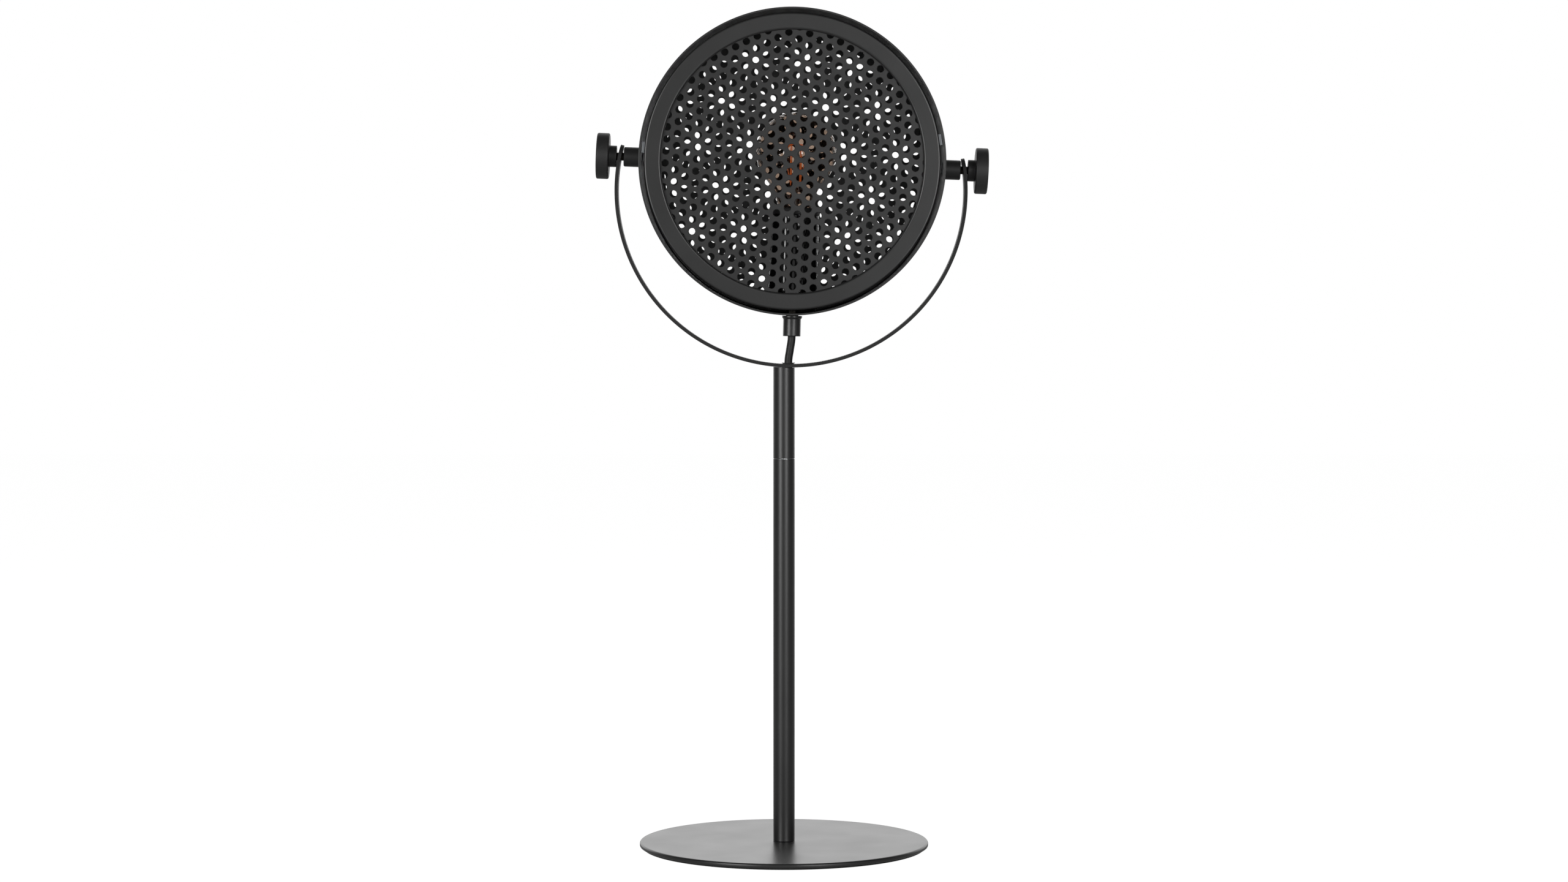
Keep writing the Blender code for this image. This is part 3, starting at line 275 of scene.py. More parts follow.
def pierced(u_lines, v_lines, holes, wall):
    """Flat sheet on lines across and along, with a round hole inside some square windows of its grid.

    A hole is its centre, half the side of its window and its radius. Its window is filled by rows of points
    that slide from the border to the hole. The wall is the radius that the sheet is rolled to later.
    """
    solid = np.ones((len(u_lines) - 1, len(v_lines) - 1), dtype=bool)
    grid = np.stack(np.meshgrid(u_lines, v_lines, indexing="ij"), axis=-1).reshape(-1, 2)
    filled = []
    for centre, half, radius in holes:
        (u0, v0), (u1, v1) = (np.array(centre) + side * half - WELD_DISTANCE for side in (-1, 1))
        i0, i1 = np.searchsorted(u_lines, (u0, u1))
        j0, j1 = np.searchsorted(v_lines, (v0, v1))
        solid[i0:i1, j0:j1] = False
        border = np.vstack(
            (
                np.column_stack((u_lines[i0:i1], np.full(i1 - i0, v_lines[j0]))),
                np.column_stack((np.full(j1 - j0, u_lines[i1]), v_lines[j0:j1])),
                np.column_stack((u_lines[i1:i0:-1], np.full(i1 - i0, v_lines[j1]))),
                np.column_stack((np.full(j1 - j0, u_lines[i0]), v_lines[j1:j0:-1])),
            )
        )
        filled.append(hole_rows(border, np.array(centre), radius, wall))
    quads = grid_quads(len(u_lines), len(v_lines))
    return joined([(grid, quads[solid.ravel()]), *filled])


def hole_rows(border, centre, radius, wall):
    """Rows from a border to a hole: straight blends of each border point and its own point on the circle."""
    out = border - centre
    circle = radius * unit(out)
    circle[:, 0] = wall * np.arcsin(circle[:, 0] / wall)
    share = np.array([0, 0.35, 0.7, 0.92, 1])[:, None, None]
    rows = centre + (1 - share) * out + share * circle
    return rows.reshape(-1, 2), grid_quads(len(share), len(border), False, True)


# Pieces


def new_mesh(name, points, faces):
    """Mesh of those points and faces with near points welded, which closes its seams and poles."""
    mesh = bpy.data.meshes.new(name)
    faces = faces if isinstance(faces, list) else [faces]
    corners = np.concatenate([f.ravel() for f in faces])
    counts = np.concatenate([np.full(len(f), f.shape[1]) for f in faces])
    starts = np.concatenate(([0], np.cumsum(counts)[:-1]))
    mesh.vertices.add(len(points))
    mesh.vertices.foreach_set("co", np.ascontiguousarray(points, dtype=np.float32).ravel())
    mesh.loops.add(len(corners))
    mesh.loops.foreach_set("vertex_index", corners.astype(np.int32))
    mesh.polygons.add(len(counts))
    mesh.polygons.foreach_set("loop_start", starts.astype(np.int32))
    mesh.update(calc_edges=True)
    shape = bmesh.new()
    shape.from_mesh(mesh)
    bmesh.ops.remove_doubles(shape, verts=shape.verts, dist=WELD_DISTANCE)
    bmesh.ops.dissolve_degenerate(shape, edges=shape.edges, dist=WELD_DISTANCE / 10)
    bmesh.ops.recalc_face_normals(shape, faces=shape.faces)
    shape.to_mesh(mesh)
    shape.free()
    return mesh


def piece(name, place, surface, finish, body, node):
    """A finished piece that rides on a body and stands for that node."""
    points, faces = surface
    mesh = new_mesh(name, moved(place, points), faces)
    mesh.shade_smooth()
    mesh.set_sharp_from_angle(angle=SHARP_ANGLE)
    mesh.materials.append(finish)
    made = bpy.data.objects.new(name, mesh)
    bpy.context.scene.collection.objects.link(made)
    if body:
        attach(made, body)
    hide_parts(node)
    return made


def turned(name, place, corners, steps, finish, body, node, closed=True):
    """A piece turned about the frame's Z from a profile of rounded corners."""
    surface = lathe(rounded(corners, closed), steps, closed)
    piece(name, place, surface, finish, body, node)


def give_wall(made, thickness, rounding):
    """Turns an open middle surface into a wall of that thickness with rounded rims."""
    wall = made.modifiers.new("Wall", "SOLIDIFY")
    wall.thickness = thickness
    wall.offset = 0
    wall.use_even_offset = True
    rim = made.modifiers.new("Rims", "BEVEL")
    rim.width = rounding
    rim.segments = 3
    rim.limit_method = "ANGLE"
    rim.angle_limit = RIM_ANGLE
    rim.harden_normals = True


def keep_node(names, finish):
    """A solid whose shape is right as it is gets a finished material."""
    for name in names:
        mesh = frame["nodes"][name].data
        mesh.materials.clear()
        mesh.materials.append(finish)


# Materials


def linear(hex_colour):
    """Linear red, green and blue of an sRGB hex colour, by the standard's own two-part curve."""
    levels = np.array([int(hex_colour[i : i + 2], 16) for i in (1, 3, 5)]) / 255
    return tuple(np.where(levels <= 0.04045, levels / 12.92, ((levels + 0.055) / 1.055) ** 2.4))


def add_node(tree, kind, inputs=(), **settings):
    """Adds a node, sets it up and fills its inputs, in order or by name, with values, sockets or nodes."""
    made = tree.nodes.new(kind)
    for name, value in settings.items():
        setattr(made, name, value)
    for key, value in inputs.items() if isinstance(inputs, dict) else enumerate(inputs):
        if isinstance(value, bpy.types.Node):
            value = value.outputs[0]
        if isinstance(value, bpy.types.NodeSocket):
            tree.links.new(value, made.inputs[key])
        else:
            made.inputs[key].default_value = value
    return made


def new_material(name):
    """An empty node material."""
    made = bpy.data.materials.new(name)
    made.use_nodes = True
    made.node_tree.nodes.clear()
    return made


def grain_of(tree, spacing, detail=2.0, texture="ShaderNodeTexNoise"):
    """Pattern in the object's own coordinates whose lumps are about that many millimetres apart."""
    place = add_node(tree, "ShaderNodeTexCoord").outputs["Object"]
    inputs = {"Vector": place, "Scale": 1 / (spacing * MILLIMETRE), "Detail": detail}
    return add_node(tree, texture, inputs)


def tinted(tree, pattern, colour, change):
    """One of the lamp's colours, made darker and lighter by that share where the pattern is low and high."""
    base = getattr(bpy.context.scene.lamp_colours, colour)
    low, high = ((*(c * share for c in base), 1) for share in (1 - change, 1 + change))
    level = add_node(tree, "ShaderNodeMapRange", (pattern, *MIDDLE_HALF, 0, 1))
    return add_node(tree, "ShaderNodeMix", {0: level, 6: low, 7: high}, data_type="RGBA").outputs[2]


def finished(name, colour, change, grain, relief, inputs, texture="ShaderNodeTexNoise"):
    """The material of that name, made when it is first asked for, with one pattern behind all that varies.

    The grain is the pattern's spacing in millimetres and its detail. The relief is a bump's strength, its
    height in millimetres and, where it differs, its own spacing. Of the inputs, a pair of values runs with
    the pattern's middle half, and any other value is set as it is.
    """
    made = bpy.data.materials.get(name)
    if made:
        return made
    made = new_material(name)
    tree = made.node_tree
    pattern = grain_of(tree, *grain, texture)
    ready = {"Base Color": tinted(tree, pattern, colour, change)} if colour else {}
    for key, value in inputs.items():
        if isinstance(value, tuple) and len(value) == 2:
            value = add_node(tree, "ShaderNodeMapRange", (pattern, *MIDDLE_HALF, *value))
        ready[key] = value
    if relief:
        strength, height, *spacing = relief
        bumps = grain_of(tree, *spacing) if spacing else pattern
        bump = {"Height": bumps, "Strength": strength, "Distance": height * MILLIMETRE}
        ready["Normal"] = add_node(tree, "ShaderNodeBump", bump)
    surface = add_node(tree, "ShaderNodeBsdfPrincipled", ready)
    add_node(tree, "ShaderNodeOutputMaterial", (surface,))
    return made


def powder_coat(name="satin_powder_coat", duller=0.0):
    """Satin powder coat on steel: a black resin skin, baked on, with a soft sheen and a faint orange peel.

    The strip has it duller, as a coat comes out on a thin bent piece: rougher by that much, with less sheen.
    """
    # The peel's real lumps are about 0.6 mm apart. They are drawn 1.8 mm apart, so that they show.
    roughness = (0.31 + duller, 0.35 + duller)
    inputs = {"Roughness": roughness, "IOR": 1.5, "Specular IOR Level": 0.43 - duller}
    return finished(name, "coat", 0.12, (40, 2.0), (0.12, 0.05, 1.8), inputs)


def gloss_enamel():
    """Stoved black enamel on the lampholder: a smooth wet-looking skin that shows a light as a streak."""
    inputs = {"Roughness": (0.1, 0.14), "IOR": 1.5}
    return finished("stoved_black_enamel", "enamel", 0.1, (8.0, 1.0), (0.05, 0.05), inputs)


def moulded_nylon():
    """Moulded black nylon: a fine spark-eroded grain from the mould and a duller sheen than the coat."""
    # The mould's grain is about 0.3 mm. It is drawn at 1 mm, so that it shows.
    inputs = {"Roughness": (0.46, 0.54), "IOR": 1.5, "Specular IOR Level": 0.3}
    return finished("moulded_nylon", "nylon", 0.1, (1.0, 3.0), (0.2, 0.05), inputs)


def moulded_rubber():
    """Moulded rubber: matt, almost black, slightly dusty."""
    inputs = {"Roughness": (0.65, 0.8), "IOR": 1.5}
    return finished("moulded_rubber", "rubber", 0.3, (1.2, 4.0), (0.3, 0.1), inputs)


def foam_pad():
    """Closed-cell foam: a matt skin pitted by cut cells, on the underside of the base."""
    # The cells are about 0.4 mm across. They are drawn 1.5 mm across, so that they show.
    inputs = {"Roughness": 0.85, "IOR": 1.45}
    cells = "ShaderNodeTexVoronoi"
    return finished("closed_cell_foam", "rubber", 0.4, (1.5, 0.0), (0.6, 0.3), inputs, cells)


def zinc_plate():
    """Zinc plate on steel: a bright grey metal with a faint cloudy bloom."""
    inputs = {"Metallic": 1.0, "Roughness": (0.28, 0.42)}
    return finished("zinc_plate", "zinc", 0.08, (3.0, 4.0), (0.1, 0.05), inputs)


def spring_steel():
    """Tempered spring steel: a dull grey metal, darker than plate, from the oxide that tempering leaves."""
    inputs = {"Metallic": 1.0, "Roughness": (0.4, 0.5)}
    return finished("tempered_spring_steel", "spring", 0.1, (3.0, 4.0), None, inputs)


def drawn_brass():
    """Drawn brass: a yellow metal, slightly dulled where it was handled."""
    inputs = {"Metallic": 1.0, "Roughness": (0.25, 0.4)}
    return finished("drawn_brass", "brass", 0.1, (4.0, 4.0), None, inputs)


def chemical_black():
    """Near-black metal as painted shade, so the studs, the nipple and its nut stay as dark as the shaded
    gaps they sit in, with a dull metal glint on their edges.
    """
    inputs = {"Metallic": 1.0, "Roughness": (0.4, 0.55)}
    return finished("chemical_black", "painted_shade_black", 0.3, (2.0, 4.0), None, inputs)


def lead_sheath():
    """Extruded PVC sheath: black, smooth along its length, with the cores' lay faintly showing."""
    inputs = {"Roughness": (0.46, 0.56), "IOR": 1.52, "Specular IOR Level": 0.3}
    return finished("extruded_pvc", "sheath", 0.15, (2.5, 2.0), (0.15, 0.1), inputs)


def smoked_glass():
    """Blown glass with an amber smoke tint: thin, glossy, and slightly wavy from blowing."""
    inputs = {"Roughness": 0.02, "IOR": 1.5, "Transmission Weight": 1.0}
    return finished("amber_smoked_glass", "glass", 0.05, (14.0, 1.0), (0.08, 0.1), inputs)


def clear_glass():
    """Drawn clear glass of the stem inside the bulb."""
    tint = (0.9, 0.92, 0.92, 1)
    inputs = {"Base Color": tint, "Roughness": 0.03, "IOR": 1.5, "Transmission Weight": 1.0}
    return finished("clear_glass", None, 0, (5.0, 1.0), (0.1, 0.1), inputs)


def phosphor():
    """Orange phosphor gel on the upright light sticks, finely speckled, with a painted glow in its own
    orange: the sticks shine faintly though the bulb is unlit.
    """
    # The emission is a painted glow in the gel's orange, not light from a lit bulb.
    glow = (*bpy.context.scene.lamp_colours.phosphor, 1)
    inputs = {"Roughness": 0.5, "IOR": 1.45, "Emission Color": glow, "Emission Strength": 0.4}
    return finished("phosphor_gel", "phosphor", 0.2, (0.8, 2.0), None, inputs)


# What a user may change


def length(name, description, millimetres):
    """A length property with its default in millimetres."""
    default = millimetres * MILLIMETRE
    return bpy.props.FloatProperty(
        name=name, description=description, default=default, min=0, unit="LENGTH", precision=5
    )


def angle(name, description, degrees):
    """An angle property with its default in degrees."""
    return bpy.props.FloatProperty(
        name=name, description=description, default=math.radians(degrees), subtype="ANGLE"
    )


def colour(name, description, hex_colour):
    """A colour property with an sRGB hex default."""
    default = linear(hex_colour)
    return bpy.props.FloatVectorProperty(
        name=name, description=description, default=default, size=3, subtype="COLOR", min=0, max=1
    )


class LampSizes(bpy.types.PropertyGroup):
    """Sizes and angles of the finished surfaces, the floor and the camera."""

    hole_diameter: length("Hole", "Diameter of the holes in the perforated sheets", 5.25)
    hole_pitch: length("Pitch", "Distance between the middles of neighbouring holes", 9.0)
    hole_rounding: length("Hole edge", "Rounding of the punched edge of each hole", 0.3)
    front_turn: angle("Front turn", "Turn of the front sheet's pattern", -3.93)
    back_turn: angle("Back turn", "Turn of the back sheet's pattern", 9.58)
    edge_rounding: length("Edges", "Rounding of the cut edges of tubes, strip and wall", 0.35)
    knob_rounding: length("Knob edges", "Rounding of the rims of the two knobs", 1.2)
    floor_size: length("Floor", "Length of each side of the floor", 14000)
    camera_distance: length("Camera distance", "Distance of the camera in front of the pole", 2550)
    camera_height: length("Camera height", "Height of the camera above the floor", 409.6)


class LampColours(bpy.types.PropertyGroup):
    """Colours of the finishes."""

    coat: colour("Powder coat", "Satin black resin skin on the steel", "#1b1b1b")
    enamel: colour("Enamel", "Gloss black skin on the lampholder's cup", "#0c0c0c")
    nylon: colour("Nylon", "Black moulded nylon of knobs and spacers", "#1c1c1c")
    rubber: colour("Rubber", "Black rubber of pad, bush and grommet", "#141414")
    zinc: colour("Zinc plate", "Bright grey plate on nuts, rings and the bulb's cap", "#d2d4d6")
    spring: colour("Spring steel", "Dull grey metal of the ring's clips", "#5e6062")
    brass: colour("Brass", "Yellow metal of the contacts", "#c9a563")
    # Painted shade: studs, nipple and nut are coloured near black to stay as dark as the shaded gaps around
    # them.
    painted_shade_black: colour("Chemical black", "Dark metal of the studs, the nipple and its nut", "#2b2926")
    sheath: colour("Lead", "Black sheath of the lead", "#101010")
    glass: colour("Bulb", "Amber smoke tint of the bulb", "#c3b5aa")
    # This orange is also the colour of the light sticks' painted glow.
    phosphor: colour("Phosphor", "Orange gel on the light sticks", "#e67e44")
    floor: colour("Floor", "Pale floor under the lamp", "#f7f7f6")


# Operators


class LAMP_OT_base(bpy.types.Operator):
    """Base disc with rounded edges, the foam pad under it and its hidden screw"""

    bl_idname = "lamp.make_base"
    bl_label = "Base"

    def execute(self, context):
        edge, foot, top = round_extent("base_plate", STAND)
        bore = round_extent("base_screw", STAND)[0] / 2
        disc = [(bore, top), (edge, top, 1.4), (edge, foot, 0.7), (bore, foot)]
        turned("base_disc", STAND, disc, LARGE_STEPS, powder_coat(), "stand", "base_plate")
        edge, foot, top = round_extent("base_pad", STAND)
        pad = [(0, top), (edge, top, 0.1), (edge, foot, 0.3), (0, foot)]
        turned("base_foam_pad", STAND, pad, LARGE_STEPS, foam_pad(), "stand", "base_pad", False)
        keep_node(["base_screw"], zinc_plate())
        return {"FINISHED"}


class LAMP_OT_pole(bpy.types.Operator):
    """Two tubes that meet in a fine seam, the grommet at the foot's back, and the hidden joiner and plug"""

    bl_idname = "lamp.make_pole"
    bl_label = "Pole"

    def execute(self, context):
        rounding = context.scene.lamp_sizes.edge_rounding
        self.lower_tube(rounding)
        self.upper_tube(rounding)
        self.grommet()
        keep_node(["foot_plug", "pole_joiner"], zinc_plate())
        return {"FINISHED"}

    def lower_tube(self, rounding):
        """Middle surface of the wall: a sheet with one hole, rolled up. Angle is length over radius."""
        outer, foot, top = round_extent("pole_lower_tube", STAND)
        middle = outer - TUBE_WALL / 2
        hole_z = middle_of("cord_grommet")[Z]
        half, hole = 6.5 * MILLIMETRE, 4.6 * MILLIMETRE
        turn = middle * QUARTER_TURN
        u_lines = lines(-turn, 30, turn - half, 16, turn + half, 30, 3 * turn)
        v_lines = lines(foot, 10, hole_z - half, 16, hole_z + half, 60, top)
        flat, faces = pierced(u_lines, v_lines, [((turn, hole_z), half, hole)], middle)
        angle = flat[:, 0] / middle
        points = np.column_stack((middle * np.cos(angle), middle * np.sin(angle), flat[:, 1]))
        surface = points, faces
        made = piece("pole_lower", STAND, surface, powder_coat(), "stand", "pole_lower_tube")
        give_wall(made, TUBE_WALL, rounding)

    def upper_tube(self, rounding):
        """Plain tube whose heights are stretched so that its top follows the underside of the strip.

        In the yoke's frame the arc's lowest and widest points give its radius and the drop of its centre.
        """
        outer, foot, top = round_extent("pole_upper_tube", STAND)
        inner = outer - TUBE_WALL
        cut = rounding / MILLIMETRE
        corners = [(outer, top, 0.1), (outer, foot, cut), (inner, foot, 0.1), (inner, top, 0.1)]
        points, faces = lathe(rounded(corners, True), MEDIUM_STEPS, True)
        radius, strip_foot, _ = round_extent("yoke_strip", YOKE)
        centre = moved(YOKE, (0, 0, strip_foot + radius))
        reach = radius + CLEARANCE
        saddle = centre[Z] - np.sqrt(reach**2 - (points[:, X] - centre[X]) ** 2)
        points[:, Z] = foot + (points[:, Z] - foot) * (saddle - foot) / (top - foot)
        surface = points, faces
        piece("pole_upper", STAND, surface, powder_coat(), "stand", "pole_upper_tube")

    def grommet(self):
        """Turned rubber piece about the line through the hole at the back of the foot."""
        place = shifted((0, 0, middle_of("cord_grommet")[Z])) @ turned_about(X, -QUARTER_TURN)
        flange, inside, outside = round_extent("cord_grommet", place)
        barrel = 4.3 * MILLIMETRE
        seat = round_extent("pole_lower_tube", STAND)[0] + CLEARANCE
        corners = [
            (flange, outside, 0.5),
            (flange, seat, 0.2),
            (barrel, seat),
            (barrel, inside, 0.2),
            (LEAD_BORE, inside, 0.2),
            (LEAD_BORE, outside, 0.3),
        ]
        rubber = moulded_rubber()
        turned("cord_exit_grommet", place, corners, SMALL_STEPS, rubber, "stand", "cord_grommet")


class LAMP_OT_yoke(bpy.types.Operator):
    """Flat strip bent to a wide U with round ends, and the rubber bush where the lead goes through it"""

    bl_idname = "lamp.make_yoke"
    bl_label = "Yoke"

    def execute(self, context):
        self.strip(context.scene.lamp_sizes.edge_rounding)
        self.bush()
        return {"FINISHED"}

    def strip(self, rounding):
        """Middle surface: a flat sheet with three holes, bent round. Angle is length over radius."""
        low, high = extent("yoke_strip", YOKE)
        thickness, lead_hole = 2.5 * MILLIMETRE, 4.4 * MILLIMETRE
        half = high[Y]
        drop = -(low[Z] + high[X])
        middle = high[X] - thickness / 2
        stud_at = middle * math.acos(-drop / middle)
        bush_foot = extent("lead_bush", STAND)[0][Z]
        local = (np.array([middle_of("lead_bush")[X], 0, bush_foot]) - YOKE[:3, 3]) @ YOKE[:3, :3]
        lead_at = middle * math.atan2(local[X], -(local[Z] + drop))
        box = half * 0.7
        end = stud_at - half
        across = lines(-half, 4, -box, 12, box, 4, half)
        along = lines(-end, 150, lead_at - box, 12, lead_at + box, 150, end)
        parts = [pierced(along, across, [((lead_at, 0), box, lead_hole)], middle)]
        for side in (-1, 1):
            centre = np.array([side * stud_at, 0])
            straight = np.column_stack((np.full(len(across), side * end), across))
            arc = np.linspace(-QUARTER_TURN, QUARTER_TURN, 33)
            shoulder = np.linspace(0, half, 9)[1:-1]
            top = np.column_stack((side * (end + shoulder), np.full(len(shoulder), half)))
            tip = centre + half * np.column_stack((side * np.cos(arc), np.sin(arc)))
            border = np.vstack((straight, top, tip[::-1], top[::-1] * (1, -1)))
            parts.append(hole_rows(border, centre, STUD_BORE, middle))
        flat, faces = joined(parts)
        angle = flat[:, 0] / middle
        points = np.column_stack((middle * np.sin(angle), flat[:, 1], -drop - middle * np.cos(angle)))
        coat = powder_coat("dull_powder_coat", 0.2)
        made = piece("yoke_bent_strip", YOKE, (points, faces), coat, "stand", "yoke_strip")
        give_wall(made, thickness, rounding)

    def bush(self):
        """Turned rubber piece about the upright line through the strip's middle hole."""
        place = shifted((middle_of("lead_bush")[X], 0, 0))
        flange, foot, top = round_extent("lead_bush", place)
        barrel = flange - 0.9 * MILLIMETRE
        seat = top - 0.5 * MILLIMETRE
        corners = [
            (flange, top, 0.2),
            (flange, seat, 0.1),
            (barrel, seat),
            (barrel, foot, 0.1),
            (LEAD_BORE, foot, 0.1),
            (LEAD_BORE, top, 0.2),
        ]
        rubber = moulded_rubber()
        turned("lead_entry_bush", place, corners, SMALL_STEPS, rubber, "stand", "lead_bush")


class LAMP_OT_tilt_hardware(bpy.types.Operator):
    """Thumb knobs, their studs, the spacers between drum and strip, and the nuts inside the drum"""

    bl_idname = "lamp.make_tilt_hardware"
    bl_label = "Tilt knobs and spacers"

    def execute(self, context):
        for side, place in SIDES.items():
            self.knob(side, place, context.scene.lamp_sizes.knob_rounding / MILLIMETRE)
            self.spacer(side, place)
        # The studs take a near-black painted shade, so the gap between hub and spacer stays dark.
        keep_node(["stud_left", "stud_right"], chemical_black())
        keep_node(["weld_nut_left", "weld_nut_right"], zinc_plate())
        return {"FINISHED"}

    def knob(self, side, place, rim):
        """Turned disc with a hub and a blind socket for the stud."""
        node = "knob_" + side
        radius, foot, face = round_extent(node, place)
        back = face - 9.5 * MILLIMETRE
        hub = 8.1 * MILLIMETRE
        depth = round_extent("stud_" + side, place)[2] + CLEARANCE
        corners = [
            (0, face),
            (radius, face, rim),
            (radius, back, rim),
            (hub, back, 0.5),
            (hub, foot, 0.3),
            (STUD_BORE, foot, 0.2),
            (STUD_BORE, depth),
            (0, depth),
        ]
        name, steps = "thumb_knob_" + side, MEDIUM_STEPS * 2
        turned(name, place, corners, steps, moulded_nylon(), node, node, False)

    def spacer(self, side, place):
        """Turned sleeve with a slight chamfer at its outer end."""
        radius, foot, top = round_extent("spacer_" + side, place)
        edge = 0.6 * MILLIMETRE
        corners = [
            (radius - edge, top, 0.2),
            (radius, top - edge, 0.2),
            (radius, foot, 0.3),
            (STUD_BORE, foot),
            (STUD_BORE, top),
        ]
        name, node = "axis_spacer_" + side, "spacer_" + side
        turned(name, place, corners, MEDIUM_STEPS, moulded_nylon(), "head", node)


class LAMP_OT_drum(bpy.types.Operator):
    """Pressed drum wall with a turned-in rim, the front ring with its rolled edges, and its two clips"""

    bl_idname = "lamp.make_drum"
    bl_label = "Drum and ring"

    def execute(self, context):
        self.wall(context.scene.lamp_sizes.edge_rounding)
        self.front_ring()
        for side, degrees in (("right", 8.3), ("left", 174.6)):
            self.clip(side, DRUM @ turned_about(Z, math.radians(degrees)))
        keep_node(["front_keeper_ring", "back_keeper_ring"], zinc_plate())
        return {"FINISHED"}

    def wall(self, rounding):
        """Middle surface of the drum: a sheet with three holes, rolled up and led round its rear bend.

        The length along the profile gives radius and height, the length round the drum gives the angle.
        """
        outer, back, axis = round_extent("drum_shell", DRUM)
        opening = round_extent("front_ring", DRUM)[0] - RING_WIDTH
        middle = outer - DRUM_WALL / 2
        floor = back + DRUM_WALL / 2
        bend = 3.0 * MILLIMETRE - DRUM_WALL / 2
        arc = np.linspace(0, QUARTER_TURN, 13)
        corner = np.column_stack((middle - bend + bend * np.cos(arc), floor + bend - bend * np.sin(arc)))
        profile = np.vstack(((middle, axis), corner, (opening, floor)))
        run = np.concatenate(([0], np.cumsum(np.linalg.norm(np.diff(profile, axis=0), axis=1))))
        half = 10 * MILLIMETRE
        straight = lines(0, 8, axis - half, 20, axis + half, 8, run[1])
        v_lines = np.concatenate((straight[:-1], run[1:-1], lines(run[-2], 5, run[-1])[1:]))
        quarter = middle * QUARTER_TURN
        lean = middle * LEAN
        stops = (-quarter, -lean, 2 * quarter - lean, 3 * quarter)
        between = [stops[0] - half]
        for at, cells, following in zip(stops[:-1], (48, 100, 48), stops[1:]):
            between += [20, at + half, cells, following - half]
        radii = (NIPPLE_BORE, STUD_BORE, STUD_BORE)
        holes = [((at, axis), half, radius) for at, radius in zip(stops, radii)]
        flat, faces = pierced(lines(*between), v_lines, holes, middle)
        radius = np.interp(flat[:, 1], run, profile[:, 0])
        height = np.interp(flat[:, 1], run, profile[:, 1])
        angle = flat[:, 0] / middle
        points = np.column_stack((radius * np.cos(angle), radius * np.sin(angle), height))
        made = piece("drum_wall", DRUM, (points, faces), powder_coat(), "head", "drum_shell")
        give_wall(made, DRUM_WALL, rounding)

    def front_ring(self):
        """Turned section: a skirt, a rolled outer edge, a flat face and a rolled inner edge with a lip."""
        outer, skirt, face = round_extent("front_ring", DRUM)
        wall = 1.2 * MILLIMETRE
        opening = outer - RING_WIDTH
        lip = face - 2.5 * MILLIMETRE
        back = face - wall
        corners = [
            (outer, face, 1.7),
            (outer, skirt, 0.3),
            (outer - wall, skirt, 0.3),
            (outer - wall, back, 0.5),
            (opening + wall, back, 0.3),
            (opening + wall, lip, 0.3),
            (opening, lip, 0.3),
            (opening, face, 1.6),
        ]
        coat = powder_coat()
        turned("front_bezel", DRUM, corners, LARGE_STEPS, coat, "head", "front_ring")

    def clip(self, side, place):
        """Leaf spring: a section of (radius, height) points, carried straight across its width.

        The section leaves the ring, runs out to the drum's bore, goes forward beside it and turns in as a
        tab that hooks over the ring's rolled edge.
        """
        outer, skirt, face = round_extent("front_ring", DRUM)
        near = outer + 0.55 * MILLIMETRE
        far = round_extent("drum_shell", DRUM)[0] - DRUM_WALL - 0.65 * MILLIMETRE
        rear, front = face - 0.9 * (face - skirt), face - 0.3 * MILLIMETRE
        hook = outer - 0.35 * MILLIMETRE
        half_width, thickness, edge = 4.2 * MILLIMETRE, 0.5 * MILLIMETRE, 0.15 * MILLIMETRE
        bend = 0.5
        corners = [
            (near, rear),
            (near, rear + bend * MILLIMETRE, bend),
            (far, (rear + front) / 2, bend),
            (far, front, bend),
            (hook, front),
        ]
        section = rounded(corners, False)[:, None]
        across = np.linspace(-1, 1, 15) * half_width + 0 * section[..., 0]
        points = np.stack((section[..., 0] + 0 * across, across, section[..., 1] + 0 * across), axis=-1)
        surface = points.reshape(-1, 3), grid_quads(*across.shape)
        name, node = "bezel_clip_" + side, "ring_clip_" + side
        made = piece(name, place, surface, spring_steel(), "head", node)
        give_wall(made, thickness, edge)


class LAMP_OT_sheets(bpy.types.Operator):
    """The two perforated sheets, whose turned patterns make rosettes when seen through each other"""

    bl_idname = "lamp.make_sheets"
    bl_label = "Perforated sheets"

    def execute(self, context):
        sizes = context.scene.lamp_sizes
        # Each offset is the place of one hole's middle, in millimetres from the drum's axis
        for name, node, turn, offset, facing in (
            ("front_screen", "front_grille", sizes.front_turn, (-1.23, 1.53), 1),
            ("back_screen", "back_grille", sizes.back_turn, (0.99, 3.76), -1),
        ):
            outside, *levels = round_extent(node, DRUM)
            offset = np.array(offset) * MILLIMETRE
            surface = perforated(sizes, turn, offset, outside, *levels[::-facing])
            piece(name, DRUM, surface, powder_coat(), "head", node)
        return {"FINISHED"}


